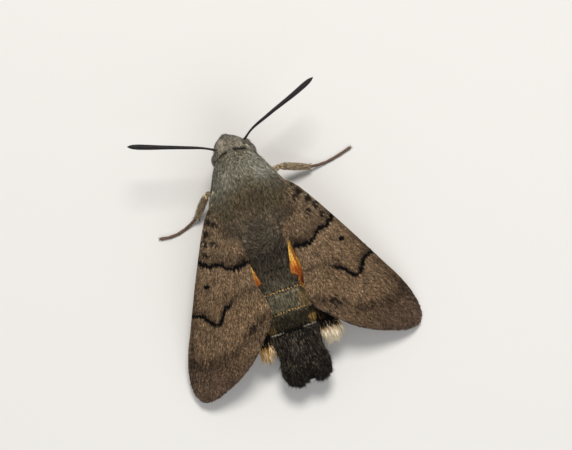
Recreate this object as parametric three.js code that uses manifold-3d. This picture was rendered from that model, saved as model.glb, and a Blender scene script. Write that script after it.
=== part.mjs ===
// A hummingbird hawk moth at rest on its six feet, wings swept back over the hind wings.
// Millimetres. The body is drawn in its own frame: +X to the moth's left, +Y towards the tail,
// +Z out of the back, with y = 0 between the feelers. It is then tipped head-up over the floor.
import * as THREE from 'three';
import { mergeVertices } from 'three/addons/utils/BufferGeometryUtils.js';
import Module from 'manifold-3d';

const wasm = await Module();
wasm.setup();

// How the body is held
const BODY_PITCH = THREE.MathUtils.degToRad(7.5);
const BODY_HEIGHT = 6.6;
const GAP = 0.06;

// Driving sizes
const FOREWING_LENGTH = 22.4;
const HINDWING_LENGTH = 13.6;
const WING_THICKNESS = 0.5;
const THORAX_START = 0.75;
const THORAX_END = 9.6;
const ABDOMEN_END = 21;
const BRUSH_END = 27;
const EYE_RADIUS = 1.05;
const EYE_PLACE = [1.5, 1.2, -0.6];
const HEAD_HALF = [1.85, 1.7, 2];
const HEAD_PLACE = [0, 0.42, -0.2];
const PALP_ROUTE = [[0.7, 0.6, -2.25], [0.7, -0.15, -2.2], [0.6, -0.75, -1.5], [0.42, -0.9, -0.75]];
const PALP_RADII = [0.36, 0.24];
const FEELER_BASE_RADIUS = 0.25;
const FEELER_CLUB_RADIUS = 0.29;
const FOOT_RADIUS = 0.25;
const FOOT_HEIGHT = 0.2;
const FLOOR_CUT = 40;

// Stations along the body: y, half width, height over the axis, depth below it
const THORAX_STATIONS = [
  [0.75, 1.55, 1.85, -0.4],
  [1.4, 2.1, 2.4, 1.3],
  [2.2, 2.6, 2.85, 2.7],
  [3, 3.1, 3.25, 3.2],
  [4, 3.62, 3.6, 3.5],
  [5, 4, 3.8, 3.6],
  [6, 4.1, 3.85, 3.55],
  [7.2, 3.85, 3.75, 3.4],
  [8.4, 3.45, 3.55, 3.15],
  [9.6, 3.1, 3.3, 2.95],
];
const ABDOMEN_STATIONS = [
  [9.66, 3.05, 3.3, 2.95],
  [12, 2.9, 3, 2.75],
  [15, 2.9, 2.7, 2.6],
  [18, 2.95, 2.45, 2.5],
  [20, 2.95, 2.15, 2.3],
  [21, 2.8, 1.9, 2.1],
];
const BRUSH_STATIONS = [
  [21.06, 2.75, 1.85, 2.05],
  [22.4, 2.62, 1.5, 1.75],
  [23.6, 2.52, 1.2, 1.45],
  [25, 2.72, 0.9, 1.1],
  [26, 2.45, 0.65, 0.85],
  [26.6, 2.1, 0.5, 0.65],
  [27, 1.45, 0.35, 0.45],
];

// The fan of long hair at each side of the abdomen's end: y, middle, half width, half thickness
const TUFT_ROOT = 2.6;
const TUFT_HEIGHT = -0.35;
const TUFT_STATIONS = [
  [18.4, 2.6, 0.35, 0.5],
  [19.8, 3.1, 0.75, 0.62],
  [21.3, 3.75, 1.15, 0.6],
  [22.4, 3.8, 1.15, 0.5],
  [23.1, 3.78, 0.9, 0.35],
  [23.4, 3.75, 0.55, 0.25],
];

// Wing outlines: distance from the hinge, front edge and rear edge off the hinge-to-tip line
const FOREWING_STATIONS = [
  [0, -0.35, 0.8],
  [4.2, -1, 2.7],
  [8.6, -1.38, 4.8],
  [12.3, -1.6, 6.92],
  [14.6, -1.72, 6.3],
  [17.2, -1.85, 5.3],
  [19.3, -1.68, 3.95],
  [20.7, -1.32, 2.65],
  [21.7, -0.78, 1.55],
  [22.4, 0.05, 0.5],
];
const HINDWING_HINGE = [3.2, 8];
const HINDWING_SPREAD = 20;
const HINDWING_STATIONS = [
  [0, -0.3, 0.6],
  [2.6, -1, 1.85],
  [6.05, -1.3, 4],
  [6.85, -1.32, 3.62],
  [7.5, -1.35, 3.84],
  [8.6, -1.35, 3.66],
  [10.8, -1.2, 2.6],
  [12.7, -0.85, 1.25],
  [13.6, -0.15, 0.15],
];

// Each side of the moth: sign of x, wing hinge and spread, tuft width, feeler and middle leg route
const SIDES = {
  left: {
    sign: 1,
    hinge: [3.5, 4.6],
    spread: 22.1,
    tuftWidth: 0.8,
    feeler: [[-1.5, 0.1, 0.6], [-2.5, -0.45, 0.85], [-5, -1.42, 1.15], [-8, -2.48, 1.4], [-10.5, -3.4, 1.5]],
    middleLeg: {
      hip: [-1.5, 4.6, 2.7],
      knee: [-4.2, 4.15, 3.2],
      ankle: [-6, 6.1, 0.95],
      foot: [[-7.6, 6.9], [-9.2, 7.25], [-10.6, 7.05]],
    },
  },
  right: {
    sign: -1,
    hinge: [3.7, 4.6],
    spread: 25.2,
    tuftWidth: 1.04,
    feeler: [[1.5, 0.05, 0.6], [2.5, -0.7, 0.85], [5, -1.75, 1.15], [8.2, -2.9, 1.4], [10.8, -3.95, 1.5]],
    middleLeg: {
      hip: [1.5, 4.6, 2.7],
      knee: [4.3, 3.8, 3.2],
      ankle: [7.3, 4.9, 0.95],
      foot: [[9, 5.05], [10.8, 4.75], [12.3, 4.35]],
    },
  },
};

// Front and hind legs, the same on both sides: across is away from the middle of the body
const FRONT_LEG = {
  hip: [1.1, 2.9, 3.1],
  knee: [2.15, 2.2, 2.5],
  ankle: [1.95, 0.9, 0.85],
  foot: [[1.75, 0.15], [1.35, -0.35], [0.8, -0.7]],
};
const HIND_LEG = {
  hip: [1.4, 6.6, 2.6],
  knee: [4.3, 9, 3],
  ankle: [6.3, 13.2, 0.95],
  foot: [[6.9, 15], [7.5, 16.6], [8, 18.2]],
};
const FEMUR_RADII = [0.5, 0.42];
const TIBIA_RADII = [0.4, 0.32];
const SPUR = { length: 1.15, spread: 0.75, root: 0.26, tip: 0.12, lowest: 0.5 };

const COLOURS = {
  coat: 0x6b6459,
  pale: 0xb8ad9c,
  abdomen: 0x3f3b36,
  black: 0x17150f,
  forewing: 0x6e5c4a,
  hindwing: 0xd07a20,
  leg: 0x6a5a4c,
  eye: 0x2a1a12,
};

// Reads a row of stations at y with a smooth curve through them
function readStations(stations, y) {
  const last = stations.length - 1;
  let i = 0;
  while (i < last - 1 && y > stations[i + 1][0]) i += 1;
  const [before, from, to, after] = [Math.max(i - 1, 0), i, i + 1, Math.min(i + 2, last)];
  const span = stations[to][0] - stations[from][0];
  const t = THREE.MathUtils.clamp((y - stations[from][0]) / span, 0, 1);
  const slope = (a, b, k) => (stations[b][k] - stations[a][k]) / (stations[b][0] - stations[a][0]) * span;
  return stations[0].slice(1).map((_, j) => {
    const k = j + 1;
    const m0 = slope(before, to, k);
    const m1 = slope(from, after, k);
    const [p0, p1] = [stations[from][k], stations[to][k]];
    return p0 * (2 * t ** 3 - 3 * t ** 2 + 1) + m0 * (t ** 3 - 2 * t ** 2 + t)
      + p1 * (3 * t ** 2 - 2 * t ** 3) + m1 * (t ** 3 - t ** 2);
  });
}

// Moves every vertex of a ready-made geometry to a new place and joins equal vertices
function reshape(geometry, place) {
  geometry.deleteAttribute('normal');
  geometry.deleteAttribute('uv');
  const position = geometry.attributes.position;
  const point = new THREE.Vector3();
  for (let i = 0; i < position.count; i += 1) {
    point.copy(place(point.fromBufferAttribute(position, i)));
    position.setXYZ(i, point.x, point.y, point.z);
  }
  return mergeVertices(geometry, 1e-5);
}

function solidOf(geometry) {
  const mesh = new wasm.Mesh({
    numProp: 3,
    vertProperties: new Float32Array(geometry.attributes.position.array),
    triVerts: new Uint32Array(geometry.index.array),
  });
  return new wasm.Manifold(mesh);
}

function geometryOf(solid) {
  const mesh = solid.getMesh();
  const geometry = new THREE.BufferGeometry();
  geometry.setAttribute('position', new THREE.BufferAttribute(new Float32Array(mesh.vertProperties), 3));
  geometry.setIndex(new THREE.BufferAttribute(new Uint32Array(mesh.triVerts), 1));
  geometry.computeVertexNormals();
  return geometry;
}

// A body lofted through its stations, larger by grow all round
function loft(stations, start, end, around, steps, grow = 0) {
  const tube = new THREE.CylinderGeometry(1, 1, 1, around, steps);
  return reshape(tube, (p) => {
    const y = THREE.MathUtils.lerp(start - grow, end + grow, p.y + 0.5);
    const [half, top, bottom] = readStations(stations, y);
    const middle = (top - bottom) / 2;
    const reach = (top + bottom) / 2 + grow;
    return new THREE.Vector3(p.x * (half + grow), y, middle + p.z * reach);
  });
}

// A round limb along a curve through its points, thinner or thicker along the way
function limb(points, radiusAt, around, steps) {
  const curve = new THREE.CatmullRomCurve3(points);
  const tube = new THREE.CylinderGeometry(1, 1, 1, around, steps);
  return reshape(tube, (p) => {
    const t = p.y + 0.5;
    const along = curve.getTangentAt(t);
    const side = new THREE.Vector3(0, 0, 1).cross(along).normalize();
    const over = new THREE.Vector3().crossVectors(side, along);
    const radius = radiusAt(t);
    return curve.getPointAt(t).addScaledVector(side, p.x * radius).addScaledVector(over, p.z * radius);
  });
}

function ball(radii, centre, around, rings) {
  const sphere = new THREE.SphereGeometry(1, around, rings);
  return reshape(sphere, (p) => new THREE.Vector3(
    centre[0] + p.x * radii[0],
    centre[1] + p.z * radii[1],
    centre[2] - p.y * radii[2],
  ));
}

// Height of the folded wings: a ridge along the back, falling ever more steeply to each side
const RIDGE_STATIONS = [[0, 1.9], [4.6, 2.35], [9, 3.25], [13, 3.5], [18.6, 3.15], [26, 2.7]];
const RIDGE_HALF = 1.9;
const ROOF_SLOPE = 0.3;
const ROOF_CURVE = 0.016;
const WING_STEP = 0.62;
function roofHeight(x, y) {
  const out = Math.max(Math.abs(x) - RIDGE_HALF, -0.6);
  return readStations(RIDGE_STATIONS, y)[0] - ROOF_SLOPE * out - ROOF_CURVE * out * Math.abs(out);
}

// A wing as a thin curved slab between its front and rear edge
function wing(stations, length, side, hinge, spread, drop) {
  const slab = new THREE.BoxGeometry(1, 1, 1, 16, 6, 1);
  const turn = THREE.MathUtils.degToRad(spread);
  return reshape(slab, (p) => {
    const u = length * Math.sin((p.x + 0.5) * Math.PI / 2);
    const [front, rear] = readStations(stations, u);
    const n = THREE.MathUtils.lerp(front, rear, 0.5 + p.y * side.sign);
    const out = hinge[0] + u * Math.sin(turn) - n * Math.cos(turn);
    const y = hinge[1] + u * Math.cos(turn) + n * Math.sin(turn);
    const z = roofHeight(out, y) - drop + p.z * WING_THICKNESS;
    return new THREE.Vector3(side.sign * out, y, z);
  });
}

// A place given across and along the back as seen square to it, and over the floor
function overFloor(across, along, height) {
  const z = (height - BODY_HEIGHT + along * Math.sin(BODY_PITCH)) / Math.cos(BODY_PITCH);
  const y = along * Math.cos(BODY_PITCH) + z * Math.sin(BODY_PITCH);
  return new THREE.Vector3(-across, y, height);
}

function tipped(geometry) {
  const tip = new THREE.Matrix4().makeRotationX(-BODY_PITCH);
  tip.setPosition(0, 0, BODY_HEIGHT);
  return geometry.clone().applyMatrix4(tip);
}

const body = new THREE.Group();
body.rotation.x = -BODY_PITCH;
body.position.z = BODY_HEIGHT;
const stance = new THREE.Group();
const moth = new THREE.Group();
moth.add(body, stance);

function addPiece(group, name, geometry, colour, roughness = 0.9) {
  const material = new THREE.MeshStandardMaterial({ color: colour, roughness, metalness: 0 });
  const mesh = new THREE.Mesh(geometry, material);
  mesh.name = name;
  group.add(mesh);
}

function eyeBall(side, grow = 0) {
  const radius = EYE_RADIUS + grow;
  return ball([radius, radius, radius], [side.sign * EYE_PLACE[0], EYE_PLACE[1], EYE_PLACE[2]], 14, 9);
}

function palp(side, grow = 0) {
  const points = PALP_ROUTE.map(([x, y, z]) => new THREE.Vector3(side.sign * x, y, z));
  return limb(points, (t) => grow + THREE.MathUtils.lerp(...PALP_RADII, t * t), 10, 7);
}

function feeler(side, grow = 0) {
  const points = side.feeler.map(([across, along, z]) => new THREE.Vector3(-across, along, z));
  const radiusAt = (t) => {
    const club = THREE.MathUtils.lerp(FEELER_BASE_RADIUS, FEELER_CLUB_RADIUS, t);
    return grow + (t > 0.9 ? THREE.MathUtils.lerp(club, 0.1, (t - 0.9) / 0.1) : club);
  };
  return limb(points, radiusAt, 8, 12);
}

// The drinking tube, rolled up between the palps
const ROLL_CENTRE = [-0.3, -2.5];
const ROLL_RADIUS = 0.68;
const ROLL_TURNS = 1.3;
const ROLL_STEP = 0.36;
const ROLL_TUBE = 0.16;
function proboscis() {
  const points = [];
  for (let i = 0; i <= 20; i += 1) {
    const turns = ROLL_TURNS * i / 20;
    const radius = ROLL_RADIUS - ROLL_STEP * turns;
    const angle = Math.PI / 2 - turns * 2 * Math.PI;
    points.push(new THREE.Vector3(
      0,
      ROLL_CENTRE[0] - radius * Math.cos(angle),
      ROLL_CENTRE[1] + radius * Math.sin(angle),
    ));
  }
  const curve = new THREE.CatmullRomCurve3(points);
  const tube = new THREE.CylinderGeometry(1, 1, 1, 7, 16);
  return reshape(tube, (p) => {
    const t = p.y + 0.5;
    const along = curve.getTangentAt(t);
    const side = new THREE.Vector3(1, 0, 0);
    const over = new THREE.Vector3().crossVectors(side, along);
    return curve.getPointAt(t).addScaledVector(side, p.x * ROLL_TUBE).addScaledVector(over, p.z * ROLL_TUBE);
  });
}

function sideTuft(side) {
  const [start, end] = [TUFT_STATIONS[0][0], TUFT_STATIONS.at(-1)[0]];
  const tube = new THREE.CylinderGeometry(1, 1, 1, 12, 6);
  return reshape(tube, (p) => {
    const y = THREE.MathUtils.lerp(start, end, p.y + 0.5);
    const [middle, half, thick] = readStations(TUFT_STATIONS, y);
    const out = TUFT_ROOT + (middle + p.x * half - TUFT_ROOT) * side.tuftWidth;
    return new THREE.Vector3(side.sign * out, y, TUFT_HEIGHT + p.z * thick * side.sign);
  });
}

// The tail brush is a flat fan of long scales, parted at its end
const PARTING = { middle: -0.13, half: 0.75, depth: 1 };
function tailBrush(grow) {
  const fan = loft(BRUSH_STATIONS, BRUSH_STATIONS[0][0], BRUSH_END, 24, 9, grow);
  return reshape(fan, (p) => {
    const near = Math.max(0, 1 - Math.abs(p.x - PARTING.middle) / PARTING.half);
    const late = THREE.MathUtils.smoothstep(p.y, BRUSH_END - 2, BRUSH_END);
    return new THREE.Vector3(p.x, p.y - PARTING.depth * near * late, p.z);
  });
}

const thoraxShape = (grow) => solidOf(loft(THORAX_STATIONS, THORAX_START, THORAX_END, 22, 10, grow));
const abdomenStart = ABDOMEN_STATIONS[0][0];
const abdomenShape = (grow) => solidOf(loft(ABDOMEN_STATIONS, abdomenStart, ABDOMEN_END, 22, 8, grow));
const sides = Object.entries(SIDES);
const eyes = sides.map(([, side]) => solidOf(eyeBall(side, GAP)));
const palps = sides.map(([, side]) => solidOf(palp(side, GAP)));
const feelers = sides.map(([, side]) => solidOf(feeler(side, GAP)));

let thorax = thoraxShape(0);
for (const eye of eyes) thorax = thorax.subtract(eye);
addPiece(body, 'thorax', geometryOf(thorax), COLOURS.coat);
addPiece(body, 'abdomen', geometryOf(abdomenShape(0)), COLOURS.abdomen);

const headShape = (grow) => solidOf(ball(HEAD_HALF.map((half) => half + grow), HEAD_PLACE, 16, 10));
let head = headShape(0).subtract(thoraxShape(GAP));
for (const cut of [...eyes, ...palps, ...feelers]) head = head.subtract(cut);
addPiece(body, 'head', geometryOf(head), COLOURS.coat);
addPiece(body, 'proboscis', geometryOf(solidOf(proboscis()).subtract(headShape(GAP))), COLOURS.eye);

addPiece(body, 'tail_brush', tailBrush(0), COLOURS.black);

for (const [name, side] of sides) {
  addPiece(body, `eye_${name}`, eyeBall(side), COLOURS.eye, 0.2);
  addPiece(body, `palp_${name}`, palp(side), COLOURS.pale);
  addPiece(body, `antenna_${name}`, feeler(side), COLOURS.black, 0.7);
  const fore = solidOf(wing(FOREWING_STATIONS, FOREWING_LENGTH, side, side.hinge, side.spread, 0));
  const hindShape = wing(HINDWING_STATIONS, HINDWING_LENGTH, side, HINDWING_HINGE, HINDWING_SPREAD, WING_STEP);
  const hind = solidOf(hindShape);
  const clear = thoraxShape(GAP).add(abdomenShape(GAP));
  addPiece(body, `forewing_${name}`, geometryOf(fore.subtract(clear)), COLOURS.forewing);
  addPiece(body, `hindwing_${name}`, geometryOf(hind.subtract(clear)), COLOURS.hindwing);
  const tuft = solidOf(sideTuft(side)).subtract(abdomenShape(GAP)).subtract(solidOf(tailBrush(GAP)));
  addPiece(body, `side_tuft_${name}`, geometryOf(tuft), COLOURS.black);
}

// Legs stand on the floor, so they are drawn upright; each foot ends in a strip at floor level
const thoraxOverFloor = solidOf(tipped(geometryOf(thoraxShape(GAP))));
const underFloor = solidOf(reshape(
  new THREE.BoxGeometry(FLOOR_CUT * 2, FLOOR_CUT * 2, FLOOR_CUT),
  (p) => new THREE.Vector3(p.x, p.y, p.z - FLOOR_CUT / 2),
));

function segment(from, to, radii, grow = 0) {
  const radiusAt = (t) => grow + THREE.MathUtils.lerp(radii[0], radii[1], t) * (0.85 + 0.7 * t * (1 - t));
  return solidOf(limb([from, from.clone().lerp(to, 0.5), to], radiusAt, 9, 4));
}

// The spurs stand in pairs on the lower side of a tibia
function withSpurs(tibia, knee, ankle, places) {
  const way = new THREE.Vector3().subVectors(ankle, knee).normalize();
  const sideways = new THREE.Vector3(0, 0, 1).cross(way).normalize();
  let whole = tibia;
  for (const at of places) {
    for (const turn of [-1, 1]) {
      const root = knee.clone().lerp(ankle, at);
      const tip = root.clone().addScaledVector(way, SPUR.length);
      tip.addScaledVector(sideways, turn * SPUR.spread);
      tip.z = Math.max(tip.z, SPUR.lowest);
      const radiusAt = (t) => THREE.MathUtils.lerp(SPUR.root, SPUR.tip, t);
      const points = [root, root.clone().lerp(tip, 0.5), tip];
      whole = whole.add(solidOf(limb(points, radiusAt, 5, 1)));
    }
  }
  return whole;
}

function addLeg(name, route, sign, spurs) {
  const place = ([across, along, height]) => overFloor(sign * across, along, height);
  const [hip, knee, ankle] = [route.hip, route.knee, route.ankle].map(place);
  const foot = route.foot.map(([across, along]) => place([across, along, FOOT_HEIGHT]));
  const femur = segment(hip, knee, FEMUR_RADII).subtract(thoraxOverFloor);
  const tibia = withSpurs(segment(knee, ankle, TIBIA_RADII), knee, ankle, spurs);
  const toe = solidOf(limb([ankle, ...foot], () => FOOT_RADIUS, 8, 6));
  addPiece(stance, `femur_${name}`, geometryOf(femur), COLOURS.leg);
  const kneeRoom = segment(hip, knee, FEMUR_RADII, GAP);
  addPiece(stance, `tibia_${name}`, geometryOf(tibia.subtract(kneeRoom)), COLOURS.leg);
  const ankleRoom = withSpurs(segment(knee, ankle, TIBIA_RADII, GAP), knee, ankle, spurs);
  addPiece(stance, `tarsus_${name}`, geometryOf(toe.subtract(ankleRoom).subtract(underFloor)), COLOURS.black);
}

for (const [name, side] of sides) {
  addLeg(`front_${name}`, FRONT_LEG, -side.sign, []);
  addLeg(`middle_${name}`, side.middleLeg, 1, [0.86]);
  addLeg(`hind_${name}`, HIND_LEG, -side.sign, [0.55, 0.86]);
}

// The origin is on the floor, under the middle of the box round the moth
const box = new THREE.Box3().setFromObject(moth, true);
moth.position.x = -(box.min.x + box.max.x) / 2;
moth.position.y = -(box.min.y + box.max.y) / 2;
moth.updateMatrixWorld(true);

export default moth;
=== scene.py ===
"""Looks of the hummingbird hawk moth: furred body, scaled wings, legs, feelers, eyes and tail brush.

The pieces are modelled in the body frame, in millimetres: x to the moth's left, y from between the
feelers to the tail, z up from the body's middle line. settle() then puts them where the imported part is.
"""

import math

import bpy
import numpy as np
from mathutils import Matrix, Vector
from mathutils.kdtree import KDTree


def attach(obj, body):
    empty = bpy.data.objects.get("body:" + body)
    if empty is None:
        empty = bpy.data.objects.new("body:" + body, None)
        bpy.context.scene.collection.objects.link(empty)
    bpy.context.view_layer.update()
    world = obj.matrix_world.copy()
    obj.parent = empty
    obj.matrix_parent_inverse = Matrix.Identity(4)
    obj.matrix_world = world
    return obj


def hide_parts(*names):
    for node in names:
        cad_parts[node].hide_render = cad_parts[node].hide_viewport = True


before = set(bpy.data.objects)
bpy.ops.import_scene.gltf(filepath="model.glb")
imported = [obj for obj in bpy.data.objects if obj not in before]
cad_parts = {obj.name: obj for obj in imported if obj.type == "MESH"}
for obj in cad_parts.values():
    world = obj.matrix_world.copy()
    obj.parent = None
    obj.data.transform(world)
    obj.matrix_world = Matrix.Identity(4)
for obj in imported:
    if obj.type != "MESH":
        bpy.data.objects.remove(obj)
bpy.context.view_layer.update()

MM = 0.001
BODY_TILT = math.radians(7.5)
BODY_ORIGIN = (0.5984, -11.4977, 6.6)

# The photo's camera, in the body frame: how it is turned, what it looks at, and the width that it takes in.
CAMERA_TURN = (0.945, 0.327)
CAMERA_AIM = (-2.88, 10.1, 1.0)
LENS = 200
SENSOR = 36
FRAME_WIDTH = 61.5
WORLD_LIGHT = 0.38

EYE_RADIUS = 1.05
EYE_PLACE = (1.5, 1.2, -0.6)
EYE_GAP = 0.02
HEAD_HALF = (1.68, 1.45, 1.8)
HEAD_PLACE = (0, 0.42, -0.2)
HEAD_LEAN = 0.28
CREST_SIDE = 0.3
PALP_JOINTS = ((0.7, 0.7, -1.75), (0.66, -0.15, -2), (0.55, -0.62, -1.4), (0.4, -0.74, -0.8))
PALP_RADII = (0.28, 0.34, 0.3, 0.14)
ROLL_CENTRE = (-0.2, -2.25)
ROLL_TURNS = 3.7

# Roots of the hair over the eyes: share of the way back, then x, y, z.
BROW = ((0, 1.3, 0, 0.66), (0.3, 1.45, 0.3, 0.7), (0.6, 1.6, 0.8, 0.68), (1, 1.9, 1.75, 0.75))

# How deep the skin lies under the fur.
COLLAR_FUR = 0.22
THORAX_FUR = 0.42
ABDOMEN_FUR = 0.22
VOXEL = 0.14

# Where the parts of the body begin and end along it.
NECK = 0.75
WAIST = 9
ABDOMEN = 9.8
TAIL = 21.6

# Stations along the body: y, half width, top, bottom.
THORAX = (
    (0.75, 1.55, 1.85, 0.4), (1.4, 2.1, 2.4, 1.3), (2.2, 2.72, 2.85, 2.7), (3, 3.15, 3.25, 3.2),
    (4, 3.68, 3.6, 3.5), (5, 4.08, 3.8, 3.6), (6, 4.1, 3.85, 3.55), (7.2, 3.85, 3.75, 3.4),
    (8.4, 3.45, 3.55, 3.15), (9.6, 3.1, 3.3, 2.95), (12, 2.9, 3, 2.75), (15, 2.9, 2.7, 2.6),
    (18, 2.95, 2.45, 2.5), (20, 2.95, 2.15, 2.3), (21, 2.8, 1.9, 2.1), (22.4, 2.5, 1.5, 1.75),
)
BRUSH = (
    (19, 2.7, 2, 2.1), (21.06, 2.75, 1.75, 1.95), (22.4, 2.6, 1.45, 1.7), (23.4, 2.42, 1.2, 1.45),
    (24.2, 2.55, 1, 1.25), (25.1, 2.78, 0.8, 1), (26, 2.6, 0.6, 0.8), (27.1, 2.2, 0.45, 0.6),
)
SEGMENT_EDGES = (16.68, 18.95, 21.05)

# Rows of flat scales across the abdomen: y, half width, number of scales.
EDGE_ROWS = ((16.68, 2.2, 190), (18.95, 2.3, 200), (21.05, 2.6, 230), (14.3, 1.7, 44))

# Stations along a side tuft: y, middle, half width, thickness. Then its root, height and width on each side.
SIDE_TUFT = (
    (18.4, 2.6, 0.35, 0.5), (19.8, 3.1, 0.75, 0.62), (21.3, 3.75, 1.1, 0.6), (22.4, 3.8, 1.15, 0.5),
    (23.5, 3.78, 1.05, 0.35),
)
TUFT_ROOT = 2.6
TUFT_HEIGHT = -0.35
TUFT_WIDTH = {1: 0.7, -1: 1}

# Wing outlines: distance from the hinge, front edge, rear edge.
FOREWING = (
    (0, 0.4, 0.9), (1, -0.2, 1.3), (2, -0.62, 1.75), (4.2, -1, 2.75), (6.3, -1.2, 4), (8.6, -1.38, 4.8),
    (12.3, -1.6, 6.92), (14.6, -1.72, 6.3), (17.2, -1.85, 5.3), (19.3, -1.68, 3.95), (20.7, -1.32, 2.65),
    (21.7, -0.78, 1.55), (22.4, 0.05, 0.5),
)
HINDWING = (
    (0, -0.3, 0.6), (1.5, -0.7, 1.1), (2.9, -1.02, 1.78), (4, -1.15, 2.45), (5, -1.23, 3.08),
    (5.8, -1.28, 3.58), (6.15, -1.3, 3.78), (6.45, -1.31, 3.55), (6.8, -1.32, 3.42), (7.4, -1.35, 3.72),
    (8.5, -1.35, 3.6), (10.8, -1.2, 2.6), (12.7, -0.85, 1.25), (13.6, -0.15, 0.15),
)
WING_SHEET = 0.1
UNDER_WING = 1.2

# Wings: side, outline, hinge, degrees that it is spread by, and how far it lies under the roof.
WINGS = {
    "forewing_left": (1, FOREWING, (3.5, 4.6), 22.1, 0.05),
    "forewing_right": (-1, FOREWING, (3.7, 4.6), 25.2, 0.05),
    "hindwing_left": (1, HINDWING, (3.2, 8), 20, 0.62),
    "hindwing_right": (-1, HINDWING, (3.2, 8), 20, 0.62),
}

# The roof that the wings make: its ridge's y and height, how far to each side that is, and how it falls.
ROOF_RIDGE = ((0, 1.9), (4.6, 2.35), (9, 3.25), (13, 3.5), (18.6, 3.15), (26, 2.7))
RIDGE_SIDE = 1.9
ROOF_FALL = 0.3
ROOF_BEND = 0.016

# Scales on the two sides of a wing and hairs on its edge, and the number of its veins.
WING_ROOTS = {"forewing": (27000, 8000, 5000), "hindwing": (7500, 4500, 2200)}
WING_VEINS = {"forewing": 9, "hindwing": 7}

FEELERS = {
    1: ((1.5, 0.1, 0.6), (2.5, -0.45, 0.85), (5, -1.42, 1.15), (8, -2.48, 1.4), (10.5, -3.4, 1.5)),
    -1: ((-1.5, 0.05, 0.6), (-2.5, -0.7, 0.85), (-5, -1.75, 1.15), (-8.2, -2.9, 1.4), (-10.8, -3.95, 1.5)),
}
FEELER_RADII = (
    (0, 0.16), (0.05, 0.13), (0.3, 0.17), (0.6, 0.23), (0.8, 0.285), (0.9, 0.28), (0.96, 0.2), (0.985, 0.11),
    (1, 0.03),
)

# Legs: across, along and height over the floor of hip, knee and ankle; then across and along of the foot.
FRONT = ((1.1, 2.9, 3.1), (2.15, 2.2, 2.5), (1.95, 0.9, 0.85)), ((1.75, 0.15), (1.35, -0.35), (0.8, -0.7))
HIND = ((1.4, 6.6, 2.6), (4.3, 9, 3), (6.3, 13.2, 0.95)), ((6.9, 15), (7.5, 16.6), (8, 18.2))
MIDDLE_LEFT = (
    ((-1.5, 4.6, 2.7), (-4.2, 4.15, 3.2), (-6, 6.1, 0.95)), ((-7.6, 6.9), (-9.2, 7.25), (-10.6, 7.05)),
)
MIDDLE_RIGHT = ((1.5, 4.6, 2.7), (4.3, 3.8, 3.2), (7.3, 4.9, 0.95)), ((9, 5.05), (10.8, 4.75), (12.3, 4.35))


def other_side(leg):
    return tuple(tuple((-across, *rest) for across, *rest in points) for points in leg)


LEGS = {
    "front_left": other_side(FRONT), "front_right": FRONT, "middle_left": MIDDLE_LEFT,
    "middle_right": MIDDLE_RIGHT, "hind_left": other_side(HIND), "hind_right": HIND,
}
SPUR_SHARES = {"front": (), "middle": (0.86,), "hind": (0.55, 0.86)}
FOOT_RADIUS = 0.185
HIP_RISE = 0.7
SPUR_CLEARANCE = 0.25

# Their thickness: share of the run, radius.
FEMUR = ((0, 0.2), (0.15, 0.3), (0.6, 0.3), (0.95, 0.22), (1, 0.12))
TIBIA = ((0, 0.12), (0.05, 0.2), (0.5, 0.2), (0.9, 0.17), (1, 0.11))
SPUR = ((0, 0.09), (0.3, 0.085), (0.8, 0.05), (1, 0.01))
FOOT_JOINT = ((0, 0.13), (0.12, 0.16), (0.75, 0.175), (0.95, FOOT_RADIUS), (1, 0.14))

# The flesh at the wing bases: where it starts, how long it is and how thick.
MANTLE_START = 4.4
MANTLE_RUN = 11.2
MANTLE_THICKNESS = 0.7

# How far to each side the long hair of the shoulders reaches: y, half width.
DRAPE_EDGE = (
    (4.2, 3.75), (5, 4.12), (5.6, 4.2), (6.4, 3.85), (8, 3.3), (9.5, 3.1), (10.6, 2.92), (11.2, 2.62),
    (11.8, 2.26), (12.6, 1.95), (13.7, 1.78), (15.2, 1.48),
)

# Over what difference in height the trunk and the wings are joined softly under it.
BRIDGE = 1.6

# The number of hairs in each coat.
HAIRS = {
    "head": 32000, "brow": 9000, "shoulders": 27000, "waist": 750, "tail brush": 44000, "side tuft": 7000,
    "femur": 1000, "tibia": 2100,
}

# The patch of a hair on the map, and the map's margin.
PATCH = 0.003
MAP_MARGIN = 0.01

BODY_FRAME = (
    Matrix.Translation(Vector(BODY_ORIGIN) * MM)
    @ Matrix.Rotation(-BODY_TILT, 4, "X")
    @ Matrix.Scale(MM, 4)
)


# Helpers for numbers


def rows(*columns):
    """Puts columns side by side; a single number fills its column."""
    return np.stack(np.broadcast_arrays(*columns), axis=1)


def stack(*groups):
    """Joins groups of arrays, first to first and so on."""
    return [np.concatenate(parts) for parts in zip(*groups)]


def grade(value, start, run):
    """0 up to the start, 1 past the end of the run, and even between. A run below 0 goes the other way."""
    return np.clip((value - start) / run, 0, 1)


def unit(ways):
    return ways / np.maximum(np.linalg.norm(ways, axis=-1, keepdims=True), 1e-9)


def laid_on(ways, normals):
    """Ways turned to lie along the surface that has these normals."""
    return unit(ways - normals * (ways * normals).sum(axis=1, keepdims=True))


def read(stations, at):
    """The columns of a table of stations, on a smooth curve through them, at the places asked for."""
    table = np.array(stations, float)
    place, columns = table[:, 0], table[:, 1:]
    slope = np.gradient(columns, place, axis=0)
    at = np.clip(np.atleast_1d(np.asarray(at, float)), place[0], place[-1])
    low = np.clip(np.searchsorted(place, at) - 1, 0, len(place) - 2)
    width = (place[low + 1] - place[low])[:, None]
    t = (at - place[low])[:, None] / width
    rise = t * t * (3 - 2 * t)
    return (
        columns[low] * (1 - rise) + columns[low + 1] * rise
        + slope[low] * width * t * (1 - t) ** 2
        - slope[low + 1] * width * t * t * (1 - t)
    )


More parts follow.
